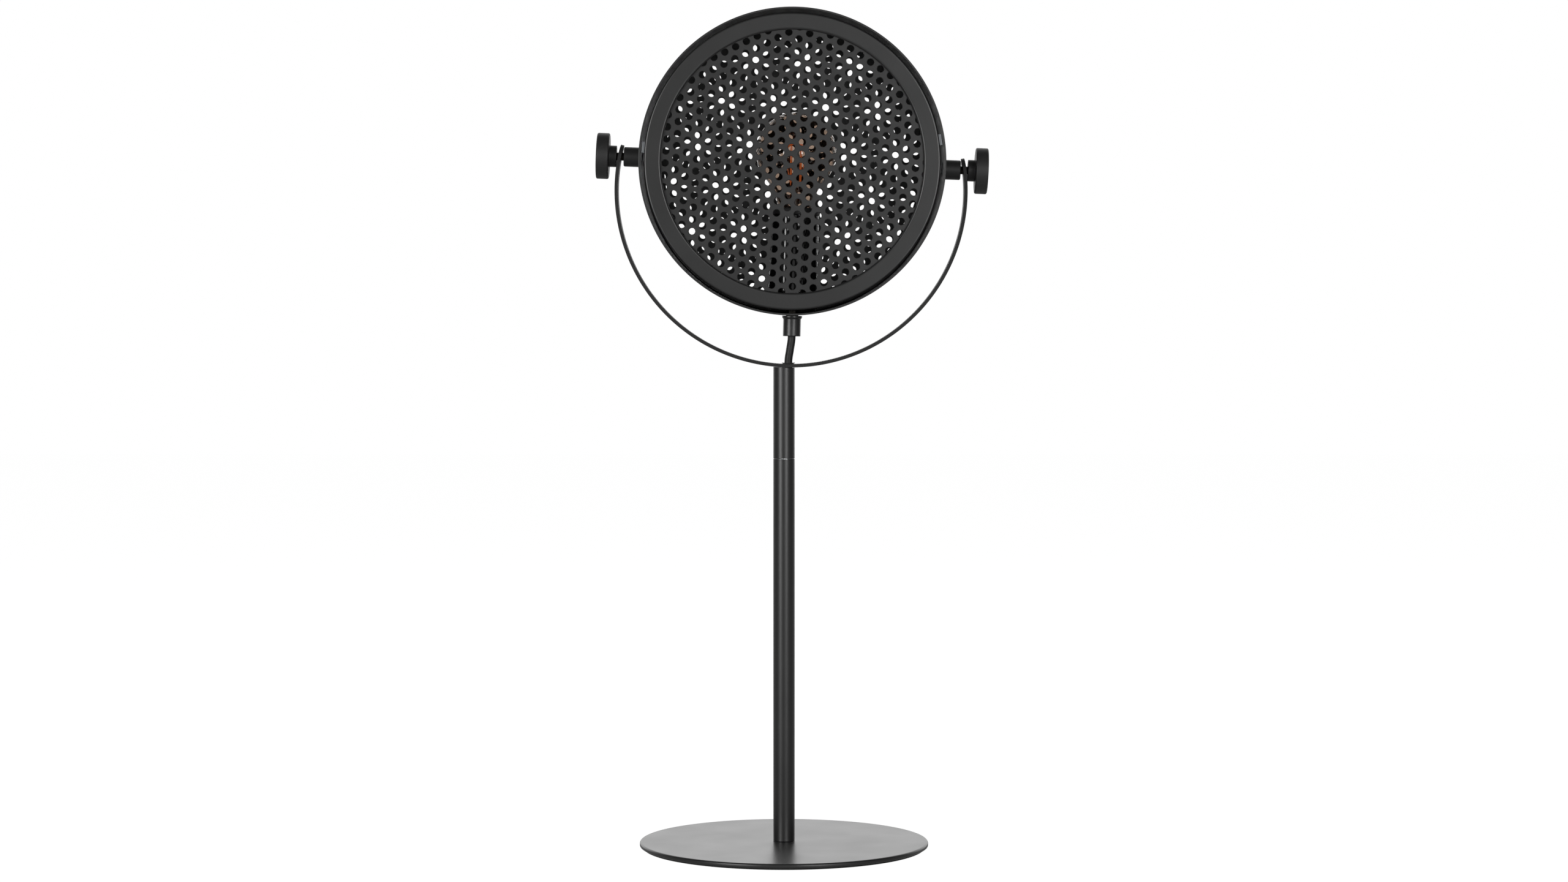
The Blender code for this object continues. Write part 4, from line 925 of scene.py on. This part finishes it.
def perforated(sizes, turn, offset, outside, front, back):
    """Round sheet of punched holes on a triangular lattice, between two heights.

    Each hole stands in a six-sided tile. Tiles are copied to every lattice point within reach, and the rest
    of the disc is filled by triangles between their outline and the sheet's edge.
    """
    pitch = sizes.hole_pitch
    up = np.array([-math.sin(turn), math.cos(turn)]) * pitch
    aside = np.array([math.cos(turn), math.sin(turn)]) * pitch * math.sqrt(3) / 2 + up / 2
    count = math.ceil(outside / pitch) + 2
    steps = np.arange(-count, count + 1)
    i, j = (a.ravel() for a in np.meshgrid(steps, steps, indexing="ij"))
    centres = offset + i[:, None] * up + j[:, None] * aside
    kept = np.linalg.norm(centres, axis=1) < outside - pitch * RIM_SHARE
    points, quads, borders = punched_tiles(sizes, turn, centres[kept], front, back)

    around = np.arange(LARGE_STEPS)
    angle = around * math.tau / LARGE_STEPS
    circle = outside * np.column_stack((np.cos(angle), np.sin(angle)))
    outline, edges = outline_of(borders)
    first = len(outline) + around
    edges = np.vstack((edges, np.column_stack((first, np.roll(first, -1)))))
    spots = [Vector(spot) for spot in np.vstack((outline, circle))]
    found = delaunay_2d_cdt(spots, [tuple(map(int, edge)) for edge in edges], [], 0, 1e-9)
    rim = np.array([tuple(spot) for spot in found[0]])
    triangles = np.array(found[2])
    middles = rim[triangles].mean(axis=1)
    nearest = np.linalg.norm(middles[:, None] - centres[None], axis=2).argmin(axis=1)
    triangles = triangles[~kept[nearest]]
    start = len(points)
    levels = [np.column_stack((p, np.full(len(p), h))) for p in (rim, circle) for h in (front, back)]
    flats = np.vstack((triangles + start, triangles + start + len(rim)))
    band = grid_quads(2, LARGE_STEPS, False, True) + start + 2 * len(rim)
    return np.vstack((points, *levels)), [quads, flats, band]


def punched_tiles(sizes, turn, centres, front, back):
    """Points, faces and borders of the tiles: a few dozen faces each, from the border in and down the hole.

    Rows of points run from the tile's border to the broken edge of the hole, down its wall and back out. The
    border is half the pitch over the cosine of the angle from the nearest neighbour's direction.
    """
    radius, rounding = sizes.hole_diameter / 2, sizes.hole_rounding
    angle = turn + QUARTER_TURN + np.arange(HOLE_STEPS) * math.tau / HOLE_STEPS
    nearest = (np.degrees(angle - turn) - 60) % 60 - 30
    border = sizes.hole_pitch / 2 / np.cos(np.radians(nearest))
    rows = [
        (border, front),
        (radius + rounding, front),
        (radius, front + math.copysign(rounding, back - front)),
        (radius, back),
        (border, back),
    ]
    reach = np.array([np.broadcast_to(r, HOLE_STEPS) for r, _ in rows])
    heights = np.array([h for _, h in rows])
    direction = np.stack((np.cos(angle), np.sin(angle)), axis=-1)
    flat = centres[:, None, None] + reach[:, :, None] * direction
    height = np.broadcast_to(heights[:, None, None], (*flat.shape[:3], 1))
    points = np.concatenate((flat, height), axis=-1).reshape(-1, 3)
    starts = np.arange(len(centres))[:, None, None] * len(rows) * HOLE_STEPS
    quads = (grid_quads(len(rows), HOLE_STEPS, False, True) + starts).reshape(-1, 4)
    return points, quads, flat[:, 0]


def outline_of(borders):
    """Points of the border edges that only one tile has, and the pairs of them that the edges join."""
    corners = borders.reshape(-1, 2)
    keys = np.round(corners / WELD_DISTANCE).astype(np.int64)
    places, same = np.unique(keys, axis=0, return_inverse=True)
    same = same.reshape(borders.shape[:2])
    spots = np.zeros((len(places), 2))
    spots[same.ravel()] = corners
    pairs = np.sort(np.stack((same, np.roll(same, -1, axis=1)), axis=-1).reshape(-1, 2), axis=1)
    pairs, times = np.unique(pairs, axis=0, return_counts=True)
    used, pairs = np.unique(pairs[times == 1], return_inverse=True)
    return spots[used], pairs.reshape(-1, 2)


class LAMP_OT_lampholder(bpy.types.Operator):
    """Tall lampholder cup with its collar, the insulating body in it, and the cord grip under the drum"""

    bl_idname = "lamp.make_lampholder"
    bl_label = "Lampholder"

    def execute(self, context):
        self.cup()
        self.collar()
        self.grip()
        keep_node(["holder_body"], moulded_nylon())
        keep_node(["holder_shell", "holder_contact"], drawn_brass())
        # The nipple and its nut take a near-black painted shade, so the gap under the drum stays dark.
        keep_node(["cable_nipple", "nipple_nut"], chemical_black())
        return {"FINISHED"}

    def cup(self):
        """Turned cup: a floor with a hole for the nipple, and an upright wall."""
        radius, foot, top = round_extent("holder_cup", HOLDER)
        wall, hole = 1.0 * MILLIMETRE, 4.8 * MILLIMETRE
        corners = [
            (hole, foot),
            (radius, foot, 1.2),
            (radius, top, 0.3),
            (radius - wall, top, 0.3),
            (radius - wall, foot + wall, 0.4),
            (hole, foot + wall),
        ]
        name, node = "lampholder_cup", "holder_cup"
        turned(name, HOLDER, corners, SMALL_STEPS * 2, gloss_enamel(), "head", node)

    def collar(self):
        """Turned ring that closes the cup round the bulb's cap."""
        radius, foot, top = round_extent("holder_collar", HOLDER)
        bore = radius - 3.0 * MILLIMETRE
        corners = [(radius, top, 0.9), (radius, foot, 0.3), (bore, foot), (bore, top, 0.7)]
        name, node = "lampholder_collar", "holder_collar"
        turned(name, HOLDER, corners, SMALL_STEPS * 2, moulded_nylon(), "head", node)

    def grip(self):
        """Turned sleeve with a slight flare at its top and a stepped bore for the nipple."""
        flare, foot, top = round_extent("cord_grip", HOLDER)
        radius = flare - 0.9 * MILLIMETRE
        step = round_extent("cable_nipple", HOLDER)[1] - CLEARANCE
        corners = [
            (flare, top, 0.2),
            (flare, top - 1.3 * MILLIMETRE, 0.4),
            (radius, top - 2.4 * MILLIMETRE, 0.5),
            (radius, foot, 0.6),
            (LEAD_BORE, foot, 0.3),
            (LEAD_BORE, step),
            (NIPPLE_BORE, step),
            (NIPPLE_BORE, top),
        ]
        name, node = "cord_grip_sleeve", "cord_grip"
        turned(name, HOLDER, corners, SMALL_STEPS, powder_coat(), "head", node)


class LAMP_OT_bulb(bpy.types.Operator):
    """Amber smoked bulb with its threaded cap, glass stem and four upright light sticks"""

    bl_idname = "lamp.make_bulb"
    bl_label = "Bulb"

    def execute(self, context):
        self.glass()
        self.cap()
        self.stem()
        self.sticks()
        keep_node(["bulb_tip"], drawn_brass())
        return {"FINISHED"}

    def glass(self):
        """Pear outline turned round: an arc for the globe, then one cubic to the neck.

        The cubic leaves the arc along its slope and arrives upright. The inner wall is the same outline,
        moved in by the wall.
        """
        radius, foot, top = round_extent("bulb_glass", HOLDER)
        wall = 0.8 * MILLIMETRE
        neck = round_extent("bulb_cap", HOLDER)[0] - 0.8 * MILLIMETRE
        arc = np.linspace(QUARTER_TURN, -math.radians(42), 40)
        globe = np.column_stack((radius * np.cos(arc), top - radius + radius * np.sin(arc)))
        start, end = globe[-1], np.array([neck, foot])
        span = start[1] - foot
        leaving = np.array([math.sin(arc[-1]), -math.cos(arc[-1])]) * span * 1.05
        arriving = np.array([0, -1]) * span * 1.1
        t = np.linspace(0, 1, 33)[1:, None]
        outline = np.vstack((globe, cubic(t, start, leaving, end, arriving)))
        along = unit(np.gradient(outline, axis=0))
        inner = outline + np.column_stack((along[:, 1], -along[:, 0])) * wall
        inner[0] = (0, top - wall)
        surface = lathe(np.vstack((outline, inner[::-1])), SMALL_STEPS * 2, False)
        piece("bulb_smoked_glass", HOLDER, surface, smoked_glass(), "head", "bulb_glass")

    def cap(self):
        """Thread in thin metal: the radius falls and rises with height less the turn's share of a pitch.

        The thread fades out at both ends. The wall goes in to the tip at its foot and back up inside.
        """
        radius, foot, top = round_extent("bulb_cap", HOLDER)
        pitch, depth, wall = 3.6 * MILLIMETRE, 0.9 * MILLIMETRE, 0.4 * MILLIMETRE
        angle = np.arange(SMALL_STEPS)[None] * math.tau / SMALL_STEPS
        height = np.linspace(top, foot, 70)[:, None] + 0 * angle
        share = (top - height) / (top - foot)
        wave = 0.5 - 0.5 * np.cos(math.tau * height / pitch - angle)
        fade = np.clip(np.minimum(share, 1 - share) * 8, 0, 1)
        outer = radius - depth * wave * fade
        shoulder = radius - 0.5 * MILLIMETRE + 0 * angle
        tip = round_extent("bulb_tip", HOLDER)[0] + 0 * angle
        floor = foot + 0 * angle
        radii = np.vstack((outer, shoulder, tip, tip, outer[::-1] - wall))
        levels = np.vstack((height, floor, floor, floor + wall, np.maximum(height, foot + wall)[::-1]))
        points = np.stack((radii * np.cos(angle), radii * np.sin(angle), levels), axis=-1)
        surface = points.reshape(-1, 3), grid_quads(*radii.shape, True, True)
        piece("bulb_threaded_cap", HOLDER, surface, zinc_plate(), "head", "bulb_cap")

    def stem(self):
        """Turned glass rod with a flare at its foot and a rounded bead on top."""
        radius, foot, top = round_extent("bulb_stem", HOLDER)
        corners = [
            (0, top),
            (radius * 0.55, top, 1.0),
            (radius * 0.5, top - 8 * MILLIMETRE, 4),
            (radius, foot + 22 * MILLIMETRE, 4),
            (radius, foot, 0.5),
            (0, foot),
        ]
        steps, glass = 48, clear_glass()
        turned("bulb_glass_stem", HOLDER, corners, steps, glass, "head", "bulb_stem", False)

    def sticks(self):
        """Round tubes along four upright lines, and a thin wire that joins their ends in turn."""
        low, high = extent("bulb_filaments", HOLDER)
        thick, thin = 0.8 * MILLIMETRE, 0.32 * MILLIMETRE
        spread = (high[X] - thick) * math.sqrt(2)
        top = high[Z] - thick
        bottom = top - 30 * MILLIMETRE
        share = np.linspace(-1, 1, 24)
        radii = thick * np.sqrt(np.clip(1 - share**16, 0.15, 1))
        heights = np.linspace(bottom + thick, top - thick, 24)
        parts, wire = [], [(0, 0, low[Z] + thin)]
        for index in range(4):
            angle = math.tau * (index + 0.5) / 4
            x, y = spread * math.cos(angle), spread * math.sin(angle)
            ends = (bottom, top) if index % 2 == 0 else (top, bottom)
            wire += [(x, y, end) for end in ends]
            path = np.column_stack((np.full(24, x), np.full(24, y), heights))
            parts.append(tube_along(path, radii, 16))
        parts.append(tube_along(smooth_path(np.array(wire), 0.6 * MILLIMETRE, -1), thin, 10))
        piece("bulb_light_sticks", HOLDER, joined(parts), phosphor(), "head", "bulb_filaments")


class LAMP_OT_lead(bpy.types.Operator):
    """The lead from the lampholder down through the strip and the pole to the grommet"""

    bl_idname = "lamp.make_lead"
    bl_label = "Lead"

    def execute(self, context):
        grip = self.on_axis(extent("cord_grip", HOLDER)[0][Z])
        bush = extent("lead_bush", STAND)
        entry = (middle_of("lead_bush")[X], 0, bush[1][Z])
        surface = tube_along(self.path(grip, bush, entry[X]), 3.0 * MILLIMETRE, 32)
        made = piece("lead", STAND, surface, lead_sheath(), None, "internal_lead")
        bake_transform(made)
        return {"FINISHED"}

    def on_axis(self, height):
        """Point of the lampholder's axis at that height in its own frame."""
        return tuple(moved(HOLDER, (0, 0, height)))

    def path(self, grip, bush, entry):
        """Points on the solid lead's route: down the lampholder's axis, over to the bush, and down."""
        nipple = extent("cable_nipple", HOLDER)
        sleeve = extent("cord_grip", HOLDER)[0][Z]
        grommet = extent("cord_grommet", STAND)
        free = grip[Z] - bush[1][Z]
        near = 0.08 * free
        foot = bush[0][Z] - CLEARANCE
        inside = foot - extent("pole_joiner", STAND)[1][Z]
        bend_end = grommet[0][Y] - CLEARANCE
        bend = bend_end + entry
        exit_z = middle_of("cord_grommet")[Z]
        bend_top = exit_z + bend
        seam = extent("pole_lower_tube", STAND)[1][Z]
        turns = np.linspace(math.pi, 3 * math.pi / 2, 6)
        route = [
            self.on_axis(extent("holder_body", HOLDER)[0][Z] - CLEARANCE),
            self.on_axis(nipple[1][Z]),
            self.on_axis(nipple[0][Z] - CLEARANCE),
            self.on_axis(sleeve + near),
            self.on_axis(sleeve - near),
            ((grip[X] + entry) / 2, 0, grip[Z] - free / 2),
            (entry, 0, bush[1][Z] + near),
            (entry, 0, bush[0][Z]),
            (entry, 0, foot - inside * 0.08),
            (entry / 2, 0, foot - inside / 2),
            (0, 0, foot - inside * 0.92),
            (0, 0, seam),
            (0, 0, seam - 30 * MILLIMETRE),
            (0, 0, (seam + bend_top) / 2),
            (0, 0, bend_top + bend * 4),
            (0, -entry, bend_top + bend),
            *((0, bend_end + bend * math.cos(a), bend_top + bend * math.sin(a)) for a in turns),
            (0, (bend_end + grommet[1][Y]) / 2, exit_z),
            (0, grommet[1][Y], exit_z),
        ]
        return smooth_path(np.array(route), 1.5 * MILLIMETRE, 0.03)


class LAMP_OT_stage(bpy.types.Operator):
    """Pale floor, white surround, two soft lights before the lamp, a weak one above it, and the camera"""

    bl_idname = "lamp.make_stage"
    bl_label = "Stage"

    def execute(self, context):
        scene = context.scene
        self.floor(scene, scene.lamp_sizes.floor_size)
        self.surround(scene)
        self.soft_light(scene, "soft_light_left", -39, (1.25, 1.25), 53.0)
        self.soft_light(scene, "soft_light_right", 26, (1.2, 1.25), 38.0)
        self.overhead(scene)
        self.camera(scene, scene.lamp_sizes)
        scene.view_settings.view_transform = "Standard"
        return {"FINISHED"}

    def floor(self, scene, size):
        """Flat square on a grid of two parameters, near white where it is seen, but it takes a shadow."""
        side = np.linspace(-size / 2, size / 2, 9)
        x, y = np.meshgrid(side, side, indexing="ij")
        points = np.stack((x, y, 0 * x), axis=-1).reshape(-1, 3)
        mesh = new_mesh("studio_floor", points, grid_quads(9, 9))
        material = new_material("painted_studio_floor")
        tree = material.node_tree
        paint = tinted(tree, grain_of(tree, 60), "floor", 0.01)
        diffuse = add_node(tree, "ShaderNodeBsdfDiffuse", (paint,))
        path = add_node(tree, "ShaderNodeLightPath")
        direct, mirrored, glowing = 1.085, 0.35, 0.9
        levels = {0: path.outputs["Is Glossy Ray"], 2: direct, 3: mirrored}
        strength = add_node(tree, "ShaderNodeMix", levels)
        glow = add_node(tree, "ShaderNodeEmission", ((1, 1, 1, 1), strength))
        seen = self.any_of(tree, path, ("Is Camera Ray", "Is Glossy Ray", "Is Transmission Ray"))
        share = add_node(tree, "ShaderNodeMath", (seen, glowing), operation="MULTIPLY")
        mixed = add_node(tree, "ShaderNodeMixShader", (share, diffuse, glow))
        add_node(tree, "ShaderNodeOutputMaterial", (mixed,))
        mesh.materials.append(material)
        made = bpy.data.objects.new("studio_floor", mesh)
        scene.collection.objects.link(made)

    def any_of(self, tree, path, kinds):
        """One where the ray is of any of those kinds, else nought."""
        found = path.outputs[kinds[0]]
        for kind in kinds[1:]:
            found = add_node(tree, "ShaderNodeMath", (found, path.outputs[kind]), operation="MAXIMUM")
        return found

    def surround(self, scene):
        """White room: full white to the camera and through glass.

        For gloss it is white behind the lamp at every height, about a third as bright straight before it,
        and dim at its sides and above, where a studio is left dark.
        """
        world = bpy.data.worlds.new("white_room")
        world.use_nodes = True
        tree = world.node_tree
        tree.nodes.clear()
        direction = add_node(tree, "ShaderNodeTexCoord").outputs["Generated"]
        _, depth, rise = add_node(tree, "ShaderNodeSeparateXYZ", (direction,)).outputs
        height = add_node(tree, "ShaderNodeMath", (rise,), operation="ABSOLUTE")
        behind, before, level = (
            add_node(tree, "ShaderNodeMapRange", (value, *ends), interpolation_type="SMOOTHSTEP")
            for value, ends in (
                (depth, (0.4, 0.85, 0.0, 1.48)),
                (depth, (-0.95, -0.3, 0.55, 0.18)),
                (height, (0.15, 0.6, 1.0, 0.15)),
            )
        )
        near = add_node(tree, "ShaderNodeMath", (before, level), operation="MULTIPLY")
        mirrored = add_node(tree, "ShaderNodeMath", (near, behind), operation="ADD")
        path = add_node(tree, "ShaderNodeLightPath")
        clear = self.any_of(tree, path, ("Is Camera Ray", "Is Transmission Ray"))
        matt, full = 0.2, 1.0
        room = add_node(tree, "ShaderNodeMix", {0: path.outputs["Is Glossy Ray"], 2: matt, 3: mirrored})
        strength = add_node(tree, "ShaderNodeMix", {0: clear, 2: room, 3: full})
        white = add_node(tree, "ShaderNodeBackground", ((1, 1, 1, 1), strength))
        add_node(tree, "ShaderNodeOutputWorld", (white,))
        scene.world = world

    def soft_light(self, scene, name, degrees, size, power):
        """Soft box 3 m from the pole's axis, facing it, that many degrees round from the camera's side."""
        light = bpy.data.lights.new(name, "AREA")
        light.shape = "RECTANGLE"
        light.size, light.size_y = size
        light.energy = power
        made = bpy.data.objects.new(name, light)
        distance, height = 3, 0.76
        angle = math.radians(degrees)
        place = Vector((distance * math.sin(angle), -distance * math.cos(angle), height))
        made.location = place
        made.rotation_euler = (Vector((0, 0, height)) - place).to_track_quat("-Z", "Y").to_euler()
        scene.collection.objects.link(made)

    def overhead(self, scene):
        """Weak wide light above the lamp, for the shadow under its base. Gloss doesn't mirror it."""
        light = bpy.data.lights.new("soft_light_above", "AREA")
        light.shape = "SQUARE"
        light.size = 2.0
        light.energy = 14
        made = bpy.data.objects.new("soft_light_above", light)
        made.location = (0, 0, 2.6)
        made.visible_glossy = False
        scene.collection.objects.link(made)

    def camera(self, scene, sizes):
        """Long lens, just above the pole's top and pitched slightly down, with no shift and no blur."""
        lens = bpy.data.cameras.new("photo_camera")
        lens.sensor_width = 36
        lens.lens = 77.08
        lens.clip_end = 100
        pitch = math.radians(2.237)
        made = bpy.data.objects.new("photo_camera", lens)
        made.location = (0, -sizes.camera_distance, sizes.camera_height)
        made.rotation_euler = (QUARTER_TURN - pitch, 0, 0)
        scene.collection.objects.link(made)
        scene.camera = made


class LAMP_PT_panel(bpy.types.Panel):
    """Lists the steps that build the lamp"""

    bl_label = "Table lamp"
    bl_idname = "LAMP_PT_panel"
    bl_space_type = "VIEW_3D"
    bl_region_type = "UI"
    bl_category = "Lamp"

    def draw(self, context):
        for step in STEPS:
            self.layout.operator(step.bl_idname)
        for group in (context.scene.lamp_sizes, context.scene.lamp_colours):
            box = self.layout.box()
            for name in group.__annotations__:
                box.prop(group, name)


STEPS = (
    LAMP_OT_base,
    LAMP_OT_pole,
    LAMP_OT_yoke,
    LAMP_OT_tilt_hardware,
    LAMP_OT_drum,
    LAMP_OT_sheets,
    LAMP_OT_lampholder,
    LAMP_OT_bulb,
    LAMP_OT_lead,
    LAMP_OT_stage,
)
CLASSES = (LampSizes, LampColours, *STEPS, LAMP_PT_panel)


def register():
    for item in CLASSES:
        bpy.utils.register_class(item)
    bpy.types.Scene.lamp_sizes = bpy.props.PointerProperty(type=LampSizes)
    bpy.types.Scene.lamp_colours = bpy.props.PointerProperty(type=LampColours)


def unregister():
    del bpy.types.Scene.lamp_colours
    del bpy.types.Scene.lamp_sizes
    for item in reversed(CLASSES):
        bpy.utils.unregister_class(item)


def main():
    """Builds the whole scene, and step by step."""
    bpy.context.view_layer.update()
    register()
    bpy.ops.lamp.make_base()
    bpy.ops.lamp.make_pole()
    bpy.ops.lamp.make_yoke()
    bpy.ops.lamp.make_tilt_hardware()
    bpy.ops.lamp.make_drum()
    bpy.ops.lamp.make_sheets()
    bpy.ops.lamp.make_lampholder()
    bpy.ops.lamp.make_bulb()
    bpy.ops.lamp.make_lead()
    bpy.ops.lamp.make_stage()


if __name__ == "__main__":
    main()
